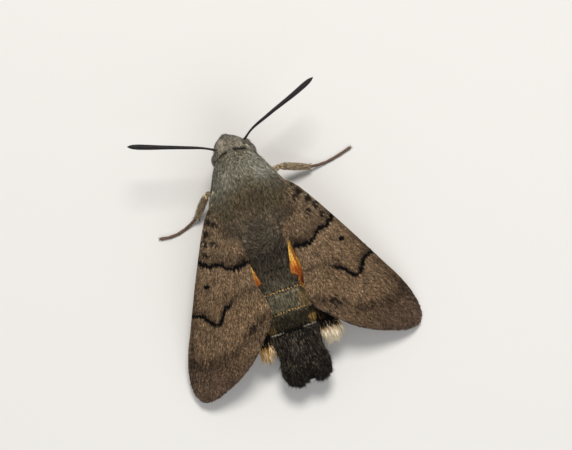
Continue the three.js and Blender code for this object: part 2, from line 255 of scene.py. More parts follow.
def ripple(points, size, seed):
    """A smooth random value from -1 to 1 at each point, with waves about size millimetres long."""
    rng = np.random.default_rng(seed)
    total = np.zeros(len(points))
    for _ in range(6):
        wave = unit(rng.normal(size=3)) * 2 * math.pi / size * rng.uniform(0.7, 1.5)
        total += np.sin(points @ wave + rng.uniform(0, 6.28))
    return total / 3.5


def outside_eyes(points):
    nearer = np.abs(points) * (1, 0, 0) + points * (0, 1, 1)
    return np.linalg.norm(nearer - EYE_PLACE, axis=1) > EYE_RADIUS + EYE_GAP


# Helpers for meshes


def choose(*pieces):
    """Leaves only these pieces selected, the first of them active."""
    bpy.ops.object.select_all(action="DESELECT")
    for piece in pieces:
        piece.select_set(True)
    bpy.context.view_layer.objects.active = pieces[0]


def add(name, data):
    """A new object in the scene, active and the only one selected."""
    piece = bpy.data.objects.new(name, data)
    bpy.context.scene.collection.objects.link(piece)
    choose(piece)
    return piece


def edit_all():
    bpy.ops.object.mode_set(mode="EDIT")
    bpy.ops.mesh.select_all(action="SELECT")


def get_rows(items, key, kind=float):
    """One property of many items, three numbers for each."""
    values = np.zeros(len(items) * 3, kind)
    items.foreach_get(key, values)
    return values.reshape(-1, 3)


def set_rows(items, key, values, kind=np.float32):
    items.foreach_set(key, values.astype(kind).ravel())


def mark(mesh, name, values):
    """Keeps three numbers at each point of a mesh, for its finish to read."""
    set_rows(mesh.attributes.new(name, "FLOAT_VECTOR", "POINT").data, "vector", values)


def primitive(name, kind, **settings):
    """One of Blender's own shapes, with its place in its mesh."""
    bpy.ops.object.select_all(action="DESELECT")
    getattr(bpy.ops.mesh, f"primitive_{kind}_add")(**settings)
    piece = bpy.context.object
    piece.name = name
    bpy.ops.object.transform_apply(location=True, rotation=True, scale=True)
    return piece


def close_up(merge=0):
    """Merges the active piece's doubles and turns its faces outwards."""
    edit_all()
    if merge:
        bpy.ops.mesh.remove_doubles(threshold=merge)
    bpy.ops.mesh.normals_make_consistent(inside=False)
    bpy.ops.object.mode_set(mode="OBJECT")


def unit_grid(name, columns, lines):
    """A flat grid with sides of 1, and how far across and along it each point is, to be shaped by them."""
    middle = (0.5, 0.5, 0)
    piece = primitive(name, "grid", x_subdivisions=columns, y_subdivisions=lines, size=1, location=middle)
    across, along, _ = get_rows(piece.data.vertices, "co").T
    return piece, across, along


def loft(name, rings):
    """A closed tube along y through rings of y, half width, top and bottom."""
    y, half, top, bottom = rings[0]
    middle = (0, y, (top - bottom) / 2)
    piece = primitive(
        name, "circle", vertices=40, radius=1, fill_type="NGON", location=middle, rotation=(math.pi / 2, 0, 0)
    )
    edit_all()
    bpy.ops.transform.resize(value=(half, 1, (top + bottom) / 2), center_override=middle)
    for before, ring in zip(rings, rings[1:]):
        middle = (ring[2] - ring[3]) / 2
        step = (0, ring[0] - before[0], middle - (before[2] - before[3]) / 2)
        bpy.ops.mesh.extrude_region_move(TRANSFORM_OT_translate={"value": step})
        grown = (ring[1] / before[1], 1, (ring[2] + ring[3]) / (before[2] + before[3]))
        bpy.ops.transform.resize(value=grown, center_override=(0, ring[0], middle))
    close_up()
    return piece


def rod(name, start, end, profile, around=12):
    """A closed turned piece from start to end. Its profile is made of (share of the run, radius)."""
    start, end = Vector(start), Vector(end)
    run = (end - start).length
    piece = primitive(name, "circle", vertices=around, radius=profile[0][1], fill_type="NGON")
    edit_all()
    bpy.ops.transform.translate(value=(0, 0, profile[0][0] * run))
    for (share, radius), (next_share, next_radius) in zip(profile, profile[1:]):
        bpy.ops.mesh.extrude_region_move(TRANSFORM_OT_translate={"value": (0, 0, (next_share - share) * run)})
        grown = next_radius / radius
        bpy.ops.transform.resize(value=(grown, grown, 1), center_override=(0, 0, next_share * run))
    close_up()
    turn = (end - start).to_track_quat("Z", "Y").to_matrix()
    piece.matrix_world = Matrix.Translation(start) @ turn.to_4x4()
    bpy.ops.object.transform_apply(location=True, rotation=True, scale=True)
    bpy.ops.object.shade_smooth()
    return piece


def tube(name, route, radii):
    """A tube along a route of points, with a radius at each of them, made from a curve."""
    curve = bpy.data.curves.new(name, "CURVE")
    curve.dimensions = "3D"
    curve.bevel_depth = 1
    curve.bevel_resolution = 5
    curve.use_fill_caps = True
    spline = curve.splines.new("POLY")
    spline.points.add(len(route) - 1)
    for point, place, radius in zip(spline.points, route, radii):
        point.co = (*place, 1)
        point.radius = radius
    add(name, curve)
    bpy.ops.object.convert(target="MESH")
    close_up(merge=0.0005)
    bpy.ops.object.shade_smooth()
    return bpy.context.object


def join(name, *pieces):
    choose(*pieces)
    if len(pieces) > 1:
        bpy.ops.object.join()
    pieces[0].name = name
    return pieces[0]


def modify(piece, kind, **settings):
    modifier = piece.modifiers.new(kind.title(), kind)
    for key, value in settings.items():
        setattr(modifier, key, value)
    choose(piece)
    bpy.ops.object.modifier_apply(modifier=modifier.name)


def settle(piece, *nodes, slot, finish):
    """Moves a piece from the body frame to the part's place, hides the parts that it stands for and gives it
    its finish.
    """
    choose(piece)
    piece.matrix_world = BODY_FRAME
    bpy.ops.object.transform_apply(location=True, rotation=True, scale=True)
    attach(piece, "root")
    if nodes:
        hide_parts(*nodes)
    piece.data.materials.clear()
    piece.data.materials.append(finish)


# Helpers for hair

def fit_to_map(place):
    """Spreads places on an unwrap over the map, with a narrow margin."""
    low, high = place.min(axis=0), place.max(axis=0)
    return MAP_MARGIN + (1 - 2 * MAP_MARGIN) * (place - low) / np.maximum(high - low, 1e-6)


def mesh_piece(name, points, faces, marks, patch):
    """A mesh from arrays, with marks by name and a place on the map for each point."""
    mesh = bpy.data.meshes.new(name)
    mesh.vertices.add(len(points))
    set_rows(mesh.vertices, "co", points)
    mesh.loops.add(faces.size)
    set_rows(mesh.loops, "vertex_index", faces, np.int32)
    mesh.polygons.add(len(faces))
    mesh.polygons.foreach_set("loop_start", np.arange(0, faces.size, 3, dtype=np.int32))
    mesh.update(calc_edges=True)
    for key, values in marks.items():
        mark(mesh, key, values)
    set_rows(mesh.uv_layers.new(name="OFBake").data, "uv", patch[faces.ravel()])
    piece = add(name, mesh)
    bpy.ops.object.shade_smooth()
    return piece


def hair_mesh(name, rings, tips, sides, ups, widths, thickness, roots, random, place, share=(0, 1)):
    """Closed three-sided hairs, with a list of points and of widths for each ring.

    share is the part of the map's width that the hairs' patches lie in.
    """
    count, steps = len(tips), len(rings)
    flat = fit_to_map(place)
    flat[:, 0] = share[0] + flat[:, 0] * (share[1] - share[0])
    corners, marks, patch = [], [], []
    for step, (ring, width) in enumerate(zip(rings, widths)):
        run = step / steps
        half = sides * (width / 2)[:, None]
        ridge = ups * (width * thickness)[:, None]
        for corner, across, lift in ((ring - half, -0.5, 0), (ring + half, 0.5, 0), (ring + ridge, 0, 0.12)):
            corners.append(corner)
            marks.append(rows(random[:, 0], run, random[:, 1]))
            patch.append(flat + PATCH * np.array([across, run - 0.5 + lift]))
    corners.append(tips)
    marks.append(rows(random[:, 0], 1, random[:, 1]))
    patch.append(flat + PATCH * np.array([0, 0.5]))
    each = len(corners)
    points, marks, patch = [
        np.stack(layers, axis=1).reshape(-1, layers[0].shape[1]) for layers in (corners, marks, patch)
    ]
    pattern = [(0, 2, 1)]
    for a in range(0, (steps - 1) * 3, 3):
        for i, j in ((0, 1), (1, 2), (2, 0)):
            pattern += [(a + i, a + j, a + 3 + j), (a + i, a + 3 + j, a + 3 + i)]
    a = (steps - 1) * 3
    pattern += [(a, a + 1, each - 1), (a + 1, a + 2, each - 1), (a + 2, a, each - 1)]
    faces = (np.array(pattern)[None] + (np.arange(count) * each)[:, None, None]).reshape(-1, 3)
    return mesh_piece(name, points, faces, {"root": np.repeat(roots, each, axis=0), "hair": marks}, patch)


def gather(tips, length, share, size, rng):
    """Draws hair tips together into tufts of about size hairs, and gives each hair the number of its tuft."""
    tree = KDTree(len(tips) // size + 1)
    heads = rng.choice(len(tips), len(tips) // size + 1, replace=False)
    for k, head in enumerate(heads):
        tree.insert(tips[head], k)
    tree.balance()
    near = np.array([tree.find(tip)[1] for tip in tips])
    pull = tips[heads][near] - tips
    reach = np.linalg.norm(pull, axis=1)
    pull *= np.minimum(1, 0.4 * length / np.maximum(reach, 1e-6))[:, None]
    return tips + pull * share, near, len(heads)


def grow(name, slot, finish, roots, normals, flow, length, width, seed, lift, jitter=0.14, wander=0.14,
         tufts=None, sink=0.06, thickness=0.4, rings=1, place=None, keep_clear=True):
    """A coat of hairs from roots on a skin, lying along flow and lifted off it.

    tufts is how far the tips are drawn together and the number of hairs in each. place is where the roots
    are on an unwrap, which is otherwise round the body and along it.
    """
    rng = np.random.default_rng(seed)
    count = len(roots)
    wave = rows(*(ripple(roots, 1.6, seed + k) for k in (1, 2, 3)))
    lie = laid_on(flow + jitter * rng.normal(size=(count, 3)) + wander * wave, normals)
    length = length * rng.uniform(0.7, 1.15, count)
    width = width * rng.uniform(0.75, 1.2, count)
    rise = lift * rng.uniform(0.55, 1.3, count)
    random = rng.uniform(size=(count, 2))
    start = roots - normals * sink
    height = length * np.sin(rise) * 0.8 + sink
    tip = start + lie * (length * np.cos(rise))[:, None] + normals * height[:, None]
    if tufts:
        tip, tuft, tuft_count = gather(tip, length, *tufts, rng)
        random[:, 0] = random[:, 0] * 0.7 + rng.uniform(size=tuft_count)[tuft] * 0.3
    belly = (start + tip) / 2 + normals * (length * 0.09)[:, None]
    clear = outside_eyes(tip) & outside_eyes(belly) if keep_clear else np.ones(count, bool)
    sides = unit(np.cross(lie, normals))
    if place is None:
        place = rows(np.arctan2(roots[:, 0], roots[:, 2]), roots[:, 1])
    ring_points, widths = ([start], [width]) if rings == 1 else ([start, belly], [width * 0.8, width])
    coat = hair_mesh(
        name, [points[clear] for points in ring_points], tip[clear], sides[clear], normals[clear],
        [values[clear] for values in widths], thickness, roots[clear], random[clear], place[clear],
    )
    settle(coat, slot=slot, finish=finish)


def scatter(skin, where, count, seed):
    """Roots spread over the faces of a skin where the test holds, with their normals."""
    mesh = skin.data
    mesh.calc_loop_triangles()
    points, point_normals = get_rows(mesh.vertices, "co"), get_rows(mesh.vertices, "normal")
    faces = get_rows(mesh.loop_triangles, "vertices", np.int32)
    corners = points[faces]
    cross = np.cross(corners[:, 1] - corners[:, 0], corners[:, 2] - corners[:, 0])
    weight = np.linalg.norm(cross, axis=1) / 2 * where(corners.mean(axis=1))
    rng = np.random.default_rng(seed)
    face = faces[rng.choice(len(weight), count, p=weight / weight.sum())]
    mix = rng.dirichlet((1, 1, 1), count)[:, :, None]
    roots = (points[face] * mix).sum(axis=1)
    normals = unit((point_normals[face] * mix).sum(axis=1))
    clear = outside_eyes(roots)
    return roots[clear], normals[clear]


# Helpers for finishes


def tint(colour):
    """A colour as it is picked from a screen, 0 to 255, as the shader takes it."""
    shares = [value / 255 for value in colour]
    return (*(value / 12.92 if value <= 0.04045 else ((value + 0.055) / 1.055) ** 2.4 for value in shares), 1)


def operator(operation, reflected=False):
    """An operator of Value that adds a Math node."""
    def apply(value, other):
        terms = (other, value) if reflected else (value, other)
        return value.math_node(operation, *terms)
    return apply


class Value:
    """A socket that adds Math nodes when it is worked with."""

    def __init__(self, finish, socket):
        self.finish = finish
        self.socket = socket

    def math_node(self, operation, *terms):
        return self.finish.node("ShaderNodeMath", {"operation": operation}, dict(enumerate(terms)))

    __add__ = operator("ADD")
    __radd__ = operator("ADD", reflected=True)
    __sub__ = operator("SUBTRACT")
    __rsub__ = operator("SUBTRACT", reflected=True)
    __mul__ = operator("MULTIPLY")
    __truediv__ = operator("DIVIDE")
    __pow__ = operator("POWER")

    def __abs__(self):
        return self.math_node("ABSOLUTE", self)

    def sine(self):
        return self.math_node("SINE", self)


class Finish:
    """A material with one shader, and the few ways that its patterns are written.

    A colour is a Value, or red, green and blue as picked from a screen.
    """

    def __init__(self, name, **constants):
        self.material = bpy.data.materials.new(name)
        self.material.use_nodes = True
        self.tree = self.material.node_tree
        self.tree.nodes.clear()
        self.shader = self.tree.nodes.new("ShaderNodeBsdfPrincipled")
        out = self.tree.nodes.new("ShaderNodeOutputMaterial")
        self.tree.links.new(self.shader.outputs[0], out.inputs["Surface"])
        for socket, value in constants.items():
            self.shader.inputs[socket.replace("_", " ")].default_value = value

    def node(self, kind, settings=None, values=None, out=0):
        """Any node: its settings first, then the values or links of its sockets."""
        node = self.tree.nodes.new(kind)
        for key, value in (settings or {}).items():
            if key == "stops":
                self._stops(node.color_ramp, value)
            elif key == "curve":
                self._curve(node.mapping, value)
            else:
                setattr(node, key, value)
        for key, value in (values or {}).items():
            socket = node.inputs[key]
            if isinstance(value, Value):
                self.tree.links.new(value.socket, socket)
            else:
                socket.default_value = value
        return Value(self, node.outputs[out])

    def _stops(self, ramp, stops):
        while len(ramp.elements) > 1:
            ramp.elements.remove(ramp.elements[-1])
        ramp.elements[0].position = stops[0][0]
        ramp.elements[0].color = stops[0][1]
        for place, colour in stops[1:]:
            ramp.elements.new(place).color = colour

    def _curve(self, mapping, points):
        curve = mapping.curves[0]
        for point, place in zip(curve.points, (points[0], points[-1])):
            point.location = place
        for place in points[1:-1]:
            curve.points.new(*place)
        mapping.update()

    def mark(self, name):
        """One of the mesh's own marks, and its three numbers."""
        vector = self.node("ShaderNodeAttribute", {"attribute_name": name}, out=1)
        parts = self.tree.nodes.new("ShaderNodeSeparateXYZ")
        self.tree.links.new(vector.socket, parts.inputs[0])
        return vector, *(Value(self, parts.outputs[k]) for k in range(3))

    def vector(self, *parts):
        return self.node("ShaderNodeCombineXYZ", None, dict(enumerate(parts)))

    def noise(self, vector, scale, detail=2, rough=0.5, dimensions="3D"):
        return self.node(
            "ShaderNodeTexNoise", {"noise_dimensions": dimensions},
            {"Vector": vector, "Scale": scale, "Detail": detail, "Roughness": rough},
        )

    def rise(self, value, low, high):
        """0 below low and 1 above high, with a smooth step between."""
        return self.node(
            "ShaderNodeMapRange", {"interpolation_type": "SMOOTHSTEP"},
            {"Value": value, "From Min": low, "From Max": high},
        )

    def band(self, value, middle, half, soft):
        """1 within half of the middle, fading over soft."""
        return 1 - self.rise(abs(value - middle), half, half + soft)

    def mix(self, amount, first, second):
        first, second = [colour if isinstance(colour, Value) else tint(colour) for colour in (first, second)]
        values = {"Factor": amount, 6: first, 7: second}
        return self.node("ShaderNodeMix", {"data_type": "RGBA"}, values, out=2)

    def paint(self, colour, *layers):
        """Lays colours over a first one, in order. A layer is how strongly it covers, and its colour."""
        for amount, over in layers:
            colour = self.mix(amount, colour, over)
        return colour

    def shade(self, colour, value):
        """A colour made lighter or darker by a number."""
        return self.node("ShaderNodeVectorMath", {"operation": "SCALE"}, {0: colour, "Scale": value})

    def ramp(self, value, stops):
        """A colour that changes with a value, through stops of (value, colour)."""
        start, end = stops[0][0], stops[-1][0]
        if (start, end) != (0, 1):
            value = (value - start) / (end - start)
        scaled = [((place - start) / (end - start), tint(colour)) for place, colour in stops]
        return self.node("ShaderNodeValToRGB", {"stops": scaled}, {"Fac": value})

    def line(self, value, points, low, high):
        """Reads a smooth line through points (place, height), with heights between low and high."""
        start, run, span = points[0][0], points[-1][0] - points[0][0], high - low
        scaled = [((place - start) / run, (height - low) / span) for place, height in points]
        height = self.node("ShaderNodeFloatCurve", {"curve": scaled}, {"Value": (value - start) / run})
        return height * span + low

    def gap(self, u, n, row, step=0.12):
        """How far a place on a wing is past a wavy row, measured square to the row."""
        behind = u - self.line(n, *row)
        slope = (self.line(n + step, *row) - self.line(n - step, *row)) / (2 * step)
        return behind * (slope * slope + 1) ** -0.5

    def set(self, **links):
        for socket, value in links.items():
            self.tree.links.new(value.socket, self.shader.inputs[socket.replace("_", " ")])
        return self.material

    def bump(self, height, distance, strength=1.0):
        values = {"Height": height, "Distance": distance, "Strength": strength}
        return self.node("ShaderNodeBump", None, values)


def distance(across, along):
    return (across * across + along * along) ** 0.5


# Camera, floor and light

def place_camera():
    camera = bpy.data.cameras.new("camera")
    camera.lens = LENS
    camera.sensor_width = SENSOR
    camera.clip_start = 0.01
    camera.clip_end = 100
    across, along = CAMERA_TURN
    right = Vector((-across, along, 0))
    up = Vector((-along, -across, 0))
    back = right.cross(up)
    aim = Vector(CAMERA_AIM) + back * FRAME_WIDTH * LENS / SENSOR
    turn = BODY_FRAME.to_3x3().normalized() @ Matrix((right, up, back)).transposed()
    holder = add("camera", camera)
    holder.matrix_world = Matrix.Translation(BODY_FRAME @ aim) @ turn.to_4x4()
    bpy.context.scene.camera = holder


def light(name, place, size, power, colour):
    lamp = bpy.data.lights.new(name, "AREA")
    lamp.shape = "DISK"
    lamp.size = size
    lamp.energy = power
    lamp.color = colour
    holder = add(name, lamp)
    holder.location = place
    holder.rotation_euler = (-Vector(place)).to_track_quat("-Z", "Y").to_euler()


def set_stage():
    floor = primitive("floor", "plane", size=8)
    finish = Finish("pale_floor", Roughness=0.9, Base_Color=(0.72, 0.71, 0.69, 1))
    floor.data.materials.append(finish.material)
    world = bpy.data.worlds.new("studio")
    bpy.context.scene.world = world
    world.use_nodes = True
    background = world.node_tree.nodes["Background"].inputs
    background["Color"].default_value = (0.98, 0.98, 0.97, 1)
    background["Strength"].default_value = WORLD_LIGHT
    light("key_light", (-0.08, -0.17, 0.38), 0.15, 1.4, (1, 0.97, 0.93))
    light("fill_light", (0, 0.3, 0.3), 0.3, 0.5, (0.95, 0.97, 1))
    bpy.context.scene.view_settings.view_transform = "Standard"


place_camera()
set_stage()


# Body

def body_skin():
    """One skin round the trunk, the head, the palps and the flesh at the wing bases, as deep as the fur."""
    inner = []
    for y in np.arange(NECK, 22.41, 0.5):
        half, top, bottom = read(THORAX, y)[0]
        fur = THORAX_FUR if y < WAIST else max(ABDOMEN_FUR, THORAX_FUR - (y - WAIST) * 0.05)
        fur = min(fur, COLLAR_FUR + max(0, y - 2) * 0.1)
        taper = max(0, y - 20.5) * 0.3
        side_fur = fur * min(1, 0.35 + 0.3 * max(0, y - 5))
        depths = [max(depth - fur - taper, 0.3) for depth in (top, bottom)]
        inner.append((y, max(half - side_fur - taper, 0.5), *depths))
    trunk = loft("trunk", inner)
    head = primitive(
        "head", "uv_sphere", segments=40, ring_count=24, radius=1, location=HEAD_PLACE, scale=HEAD_HALF
    )
    for vertex in head.data.vertices:
        vertex.co.x += HEAD_LEAN * max(0, 0.5 - vertex.co.y) / 1.5
    palps = []
    for side in (1, -1):
        joints = [(side * across, *rest) for across, *rest in PALP_JOINTS]
        for start, end, first, last in zip(joints, joints[1:], PALP_RADII, PALP_RADII[1:]):
            profile = ((-0.1, first * 0.6), (0.05, first), (0.95, last), (1.1, last * 0.5))
            palps.append(rod("palp", start, end, profile))
    skin = join("body_skin", trunk, head, mantle(), *palps)
    modify(skin, "REMESH", mode="VOXEL", voxel_size=VOXEL, use_smooth_shade=True)
    modify(skin, "SMOOTH", factor=0.5, iterations=6)
    mark(skin.data, "root", get_rows(skin.data.vertices, "co"))
    return skin


def roof(out, y):
    """The height of the roof that the folded wings make over the body."""
    ridge = read(ROOF_RIDGE, y)[:, 0]
    fall = np.maximum(np.abs(out) - RIDGE_SIDE, -0.6)
    return ridge - ROOF_FALL * fall - ROOF_BEND * fall * np.abs(fall)


def over_wings(x, y):
    """The height of what the long hair beside the body lies on: the trunk, softly joined to the wings."""
    half, top, bottom = read(THORAX, y).T
    share = np.clip(1 - (x / (half - 0.3)) ** 2, 0, 1)
    trunk = (top - bottom) / 2 + ((top + bottom) / 2 - 0.3) * np.sqrt(share)
    out = np.abs(x)
    fore = grade(out, 2.2, 0.3) * grade(y, 9, 0.5) + grade(y, 9.5, -0.5)
    wing = roof(out, y) - 0.72 + 0.6 * np.clip(fore, 0, 1) - 1.5 * grade(out, RIDGE_SIDE, -1.5)
    close = np.clip(1 - np.abs(trunk - wing) / BRIDGE, 0, 1)
    return np.maximum(trunk, wing) + close ** 2 * BRIDGE / 4


def mantle():
    """Flesh from the trunk to the wing bases and on under the hindwings, for the long hair to lie on."""
    piece, across, along = unit_grid("mantle", 60, 70)
    y = MANTLE_START + MANTLE_RUN * along
    edge = read(DRAPE_EDGE, y)[:, 0] - 0.12
    x = (2 * across - 1) * np.where(y > 10.6, np.maximum(edge, 2.72), edge)
    depth = 0.36 + grade(y, 5.4, -1) * 0.9 - grade(y, 10.3, 1.2) * 0.24 + grade(y, 13.6, 2) ** 2 * 0.5
    covered = grade(np.abs(x), edge, 0.2)
    z = (over_wings(x, y) - depth) * (1 - covered) + (roof(np.abs(x), y) - UNDER_WING) * covered
    set_rows(piece.data.vertices, "co", rows(x, y, z))
    modify(piece, "SOLIDIFY", thickness=MANTLE_THICKNESS, offset=-1)
    return piece


def trunk_flow(p):
    """The way the coat lies on the thorax and the abdomen."""
    x, y, z = p.T
    rear = grade(y, 7.5, 1.5) * grade(y, 11.6, -1.5) * (z > 0)
    spread = 0.1 * grade(y, 5, -4) * np.sign(x) * np.minimum(abs(x), 3) - 0.4 * rear * np.tanh(x)
    fan = grade(y, 17, 3) * 0.06 * x
    return rows(spread + fan, 1, np.where(z < 0, -0.15, 0) * grade(y, 6, -4))


def head_flow(p):
    """The crown's hair lies forward to a low crest, the cheeks' back round the eyes, the face's down."""
    x, y, z = p.T
    crown = grade(z, 0.1, 0.6)
    cheek = grade(abs(x), 1.0, 0.5) * (1 - crown)
    face = (1 - crown) * (1 - cheek)
    return rows(
        crown * -0.6 * np.tanh(1.6 * (x - CREST_SIDE)) + cheek * np.sign(x) * 0.8,
        crown * -0.8 + cheek * 0.9 + face * -0.2,
        crown * 0.15 - face - cheek * 0.1,
    )


def head_length(p):
    """Short hair, longer towards the crest over the face."""
    x, y, z = p.T
    return 0.42 + 0.5 * np.exp(-(((x - CREST_SIDE) / 0.5) ** 2)) * grade(y, 0.3, -1) * (z > 0)


# Finishes of the furred parts

BLACK = (10, 9, 8)

# The colours along the body: y, colour.
TOP_COLOURS = (
    (-2, (186, 178, 163)), (0.3, (164, 155, 138)), (1.1, (146, 139, 120)), (2.5, (176, 170, 150)),
    (3.8, (152, 144, 122)), (4.9, (134, 120, 95)), (6.2, (128, 112, 85)), (7.5, (148, 129, 103)),
    (8.6, (164, 145, 118)), (9.6, (156, 140, 118)), (11, (106, 94, 79)), (12.3, (88, 78, 66)),
    (14.2, (106, 96, 80)), (15.8, (134, 124, 104)), (16.7, (142, 133, 110)), (16.78, (146, 138, 114)),
    (18.9, (150, 140, 112)), (19, (78, 70, 54)), (20.9, (70, 62, 47)), (21.1, (70, 64, 52)),
    (22, (44, 40, 32)), (24, (30, 27, 23)), (27.5, (16, 14, 13)),
)
UNDER_COLOURS = (
    (-2, (236, 230, 214)), (0.6, (226, 218, 200)), (2, (196, 188, 170)), (7, (168, 156, 136)),
    (10, (130, 114, 94)), (16, (96, 82, 66)), (20, (70, 60, 48)), (22, (44, 40, 34)), (27, (30, 28, 26)),
)


def body_colour(finish, on_hair):
    """The markings of the body by place, the same for its skin and its coat, with painted shade at the waist
    and the crease, a painted sheen and painted shadow over the left flank patch laid over them.
    """
    rise, band = finish.rise, finish.band
    place, x, y, z = finish.mark("root")
    side = abs(x)
    above = rise(z, 0.2, 0.8)
    patchy = finish.noise(place, 0.9, 3)
    drift = patchy - 0.5
    grain = finish.noise(place, 7, 1)
    late = rise(side, 0.8, 3) * band(y, 5.6, 1.4, 1.4) * 0.9
    along = y - late + drift * 1.4 * (1 - rise(y, 11, 12))
    flank = band(y, 20.1, 0.45, 0.25) * rise(side, 1.7, 2.2) * rise(grain, 0.3, 0.45)
    warm = band(y, 17.9, 0.7, 0.5) * rise(x + drift * 1.4, -0.9, -1.9) * above
    loose = side + drift * 0.7
    wingward = rise(y, 9.1, 9.7) * rise(loose, 2.05, 2.4) * (1 - rise(y, 11.6, 12)) * above
    # waist: painted shadow in the hollow where the thorax meets the wing bases.
    waist = band(y, 8.5, 0.5, 0.5) * band(loose, 3.1, 0.8, 0.5) * above
    sheen = rise(side, 0.9, 2) * band(y, 2.2, 1.3, 1) * rise(z, -1, 0.5)
    # Painted shade along the crease where the crown's hair parts from the collar's: narrow on the hair, wider
    # on the skin.
    crease_shade_width = 0.03 if on_hair else 0.12
    crease_shade = band(y - x * x * 0.15, 0.6, crease_shade_width, 0.06) * above * rise(abs(x - 0.2), 0.25, 0.45)
    colour = finish.paint(
        finish.ramp(along, TOP_COLOURS),
        (rise(z + drift * 1.2, -0.5, -1.7), finish.ramp(along, UNDER_COLOURS)),
        # Ochre flank patches, dimmed on the moth's left as painted shadow from the forewing.
        (flank * (0.95 - rise(x, -1, 1) * 0.55), (206, 162, 96)),
        (warm * 0.8, (206, 172, 116)),
        (wingward, finish.mix(grain, (118, 96, 72), (212, 174, 134))),
        # Painted shadow in the hollow beside the waist.
        (waist * 0.62, (70, 55, 42)),
        (sheen * (0.5 - x * 0.1), (214, 210, 192)),
        (crease_shade * 0.85, BLACK),
    )
    if not on_hair:
        return finish.shade(colour, 0.35 + grain * 0.3)
    _, random, run, other = finish.mark("hair")
    lying = finish.vector(x * 7, y * rise(y, 0.4, 1) * -3 + y * 6.5, z * 7)
    strands = rise(finish.noise(lying, 1, 2, 0.6), 0.34, 0.66)
    level = 0.12 + random * random * 2.2 + rise(other, 0.92, 0.98) * 0.7
    return finish.shade(colour, level * (0.62 + run * 0.6) * (0.8 + patchy * 0.4) * (0.5 + strands * 0.9))


def fur_finish():
    finish = Finish("moth_fur", Roughness=0.8, Specular_IOR_Level=0.12)
    return finish.set(Base_Color=body_colour(finish, True))


def skin_finish():
    finish = Finish("moth_skin", Roughness=0.9, Specular_IOR_Level=0.1)
    strands = finish.noise(finish.mark("root")[0], 14, 3)
    return finish.set(Base_Color=body_colour(finish, False), Normal=finish.bump(strands, 0.00008))


def strand_finish():
    finish = Finish("pale_strands", Roughness=0.7, Specular_IOR_Level=0.2)
    _, random, run, _ = finish.mark("hair")
    colour = finish.mix(random, (60, 52, 44), (132, 120, 101))
    return finish.set(Base_Color=finish.shade(colour, 0.6 + run * 0.5))


def edge_finish():
    """Scales along a segment's edge: black between ochre, paler and plainer on the last segment."""
    finish = Finish("segment_edge", Roughness=0.75, Specular_IOR_Level=0.12)
    _, x, y, _ = finish.mark("root")
    _, random, _, other = finish.mark("hair")
    pale = finish.mix(finish.rise(y, 19, 20), (190, 156, 106), (150, 142, 128))
    pale = finish.mix(1 - finish.rise(y, 15, 16), pale, (70, 62, 52))
    beat = (x * 19 + (random - 0.5) * 3).sine()
    last = finish.rise(y, 19.5, 20)
    sides = finish.rise(abs(x), 1.0, 1.3)
    show = finish.rise(beat, -0.2, 0.3) * (1 - last) + last * sides * finish.rise(random, 0.2, 0.4)
    return finish.set(Base_Color=finish.shade(finish.mix(show, (12, 10, 9), pale), 0.55 + other * 0.7))


def eye_finish():
    finish = Finish(
        "compound_eye", Coat_Weight=0.35, Coat_Roughness=0.12, Roughness=0.3, Specular_IOR_Level=0.3
    )
    where = finish.node("ShaderNodeTexCoord", out=3)
    cells = finish.node("ShaderNodeTexVoronoi", {"feature": "F1"}, {"Vector": where, "Scale": 14000.0})
    colour = finish.mix(finish.rise(finish.noise(where, 900), 0.35, 0.65), (30, 18, 13), (70, 42, 28))
    return finish.set(Base_Color=colour, Normal=finish.bump(cells, 0.00001, 0.6))


FUR = fur_finish()
SKIN = skin_finish()
STRAND = strand_finish()
EDGE = edge_finish()
EYE = eye_finish()

skin = body_skin()


def hood(x):
    """Where the crown's hair parts from the collar's."""
    return 0.6 + 0.15 * x * x


def parting(p):
    """How far along the body the head's hair parts from the thorax's, above and below."""
    return np.where(p[:, 2] > 0, hood(p[:, 0]), 1.2)


def on_head(p):
    return (p[:, 1] < parting(p)) & (np.linalg.norm((p - HEAD_PLACE) / HEAD_HALF, axis=1) < 1.3)


def off_parting(p):
    """Not on the bare line between the crown and the collar."""
    x, y, z = p.T
    return (np.abs(y - hood(x)) > 0.05) | (z < 0.4) | (np.abs(x - 0.2) < 0.35)


def beside_parting(p):
    """1 at the line where the head's hair parts from the thorax's, where it stands up and hides the skin."""
    return np.clip(1 - np.abs(p[:, 1] - parting(p)) / 0.4, 0, 1)


def grow_shoulders():
    """Long hair from the shoulders over the wing bases, narrowing to the waist."""
    rng = np.random.default_rng(81)
    count = HAIRS["shoulders"]
    y = 11.8 - 7.8 * rng.uniform(size=count) ** 1.12
    edge = read(DRAPE_EDGE, y)[:, 0]
    inner = np.where(y < 9, edge - 2.1, edge - 1.25)
    loose = np.where((y > 5.5) & (y < 11), 0.3, 0.08)
    share = rng.uniform(size=count) ** 0.9
    widest = np.minimum(y * 0.8 + 0.2, np.maximum(4.2, y * 0.5 + 1.3))
    out = np.minimum(edge - (edge - inner) * share + loose * rng.normal(size=count), widest)
    x = out * rng.choice([-1, 1], count)
    step = 0.4
    down_x = (over_wings(x + step, y) - over_wings(x - step, y)) / (2 * step)
    down_y = (over_wings(x, y + step) - over_wings(x, y - step)) / (2 * step)
    normals = unit(rows(-np.clip(down_x, -1, 1), -np.clip(down_y, -0.5, 0.5), 1))
    roots = rows(x, y, over_wings(x, y) - 0.05 - 0.16 * np.clip(5.4 - y, 0, 1.4))
    flow = rows(np.where(y < 6, 0, -0.2) * np.sign(x), 1, 0)
    length = 0.6 - 0.1 * grade(y, 9.5, 2)
    grow("coat_shoulders", "body_fur", FUR, roots, normals, flow, length, 0.085, 82, 0.2, jitter=0.16,
         tufts=(0.1, 5), sink=0.12)


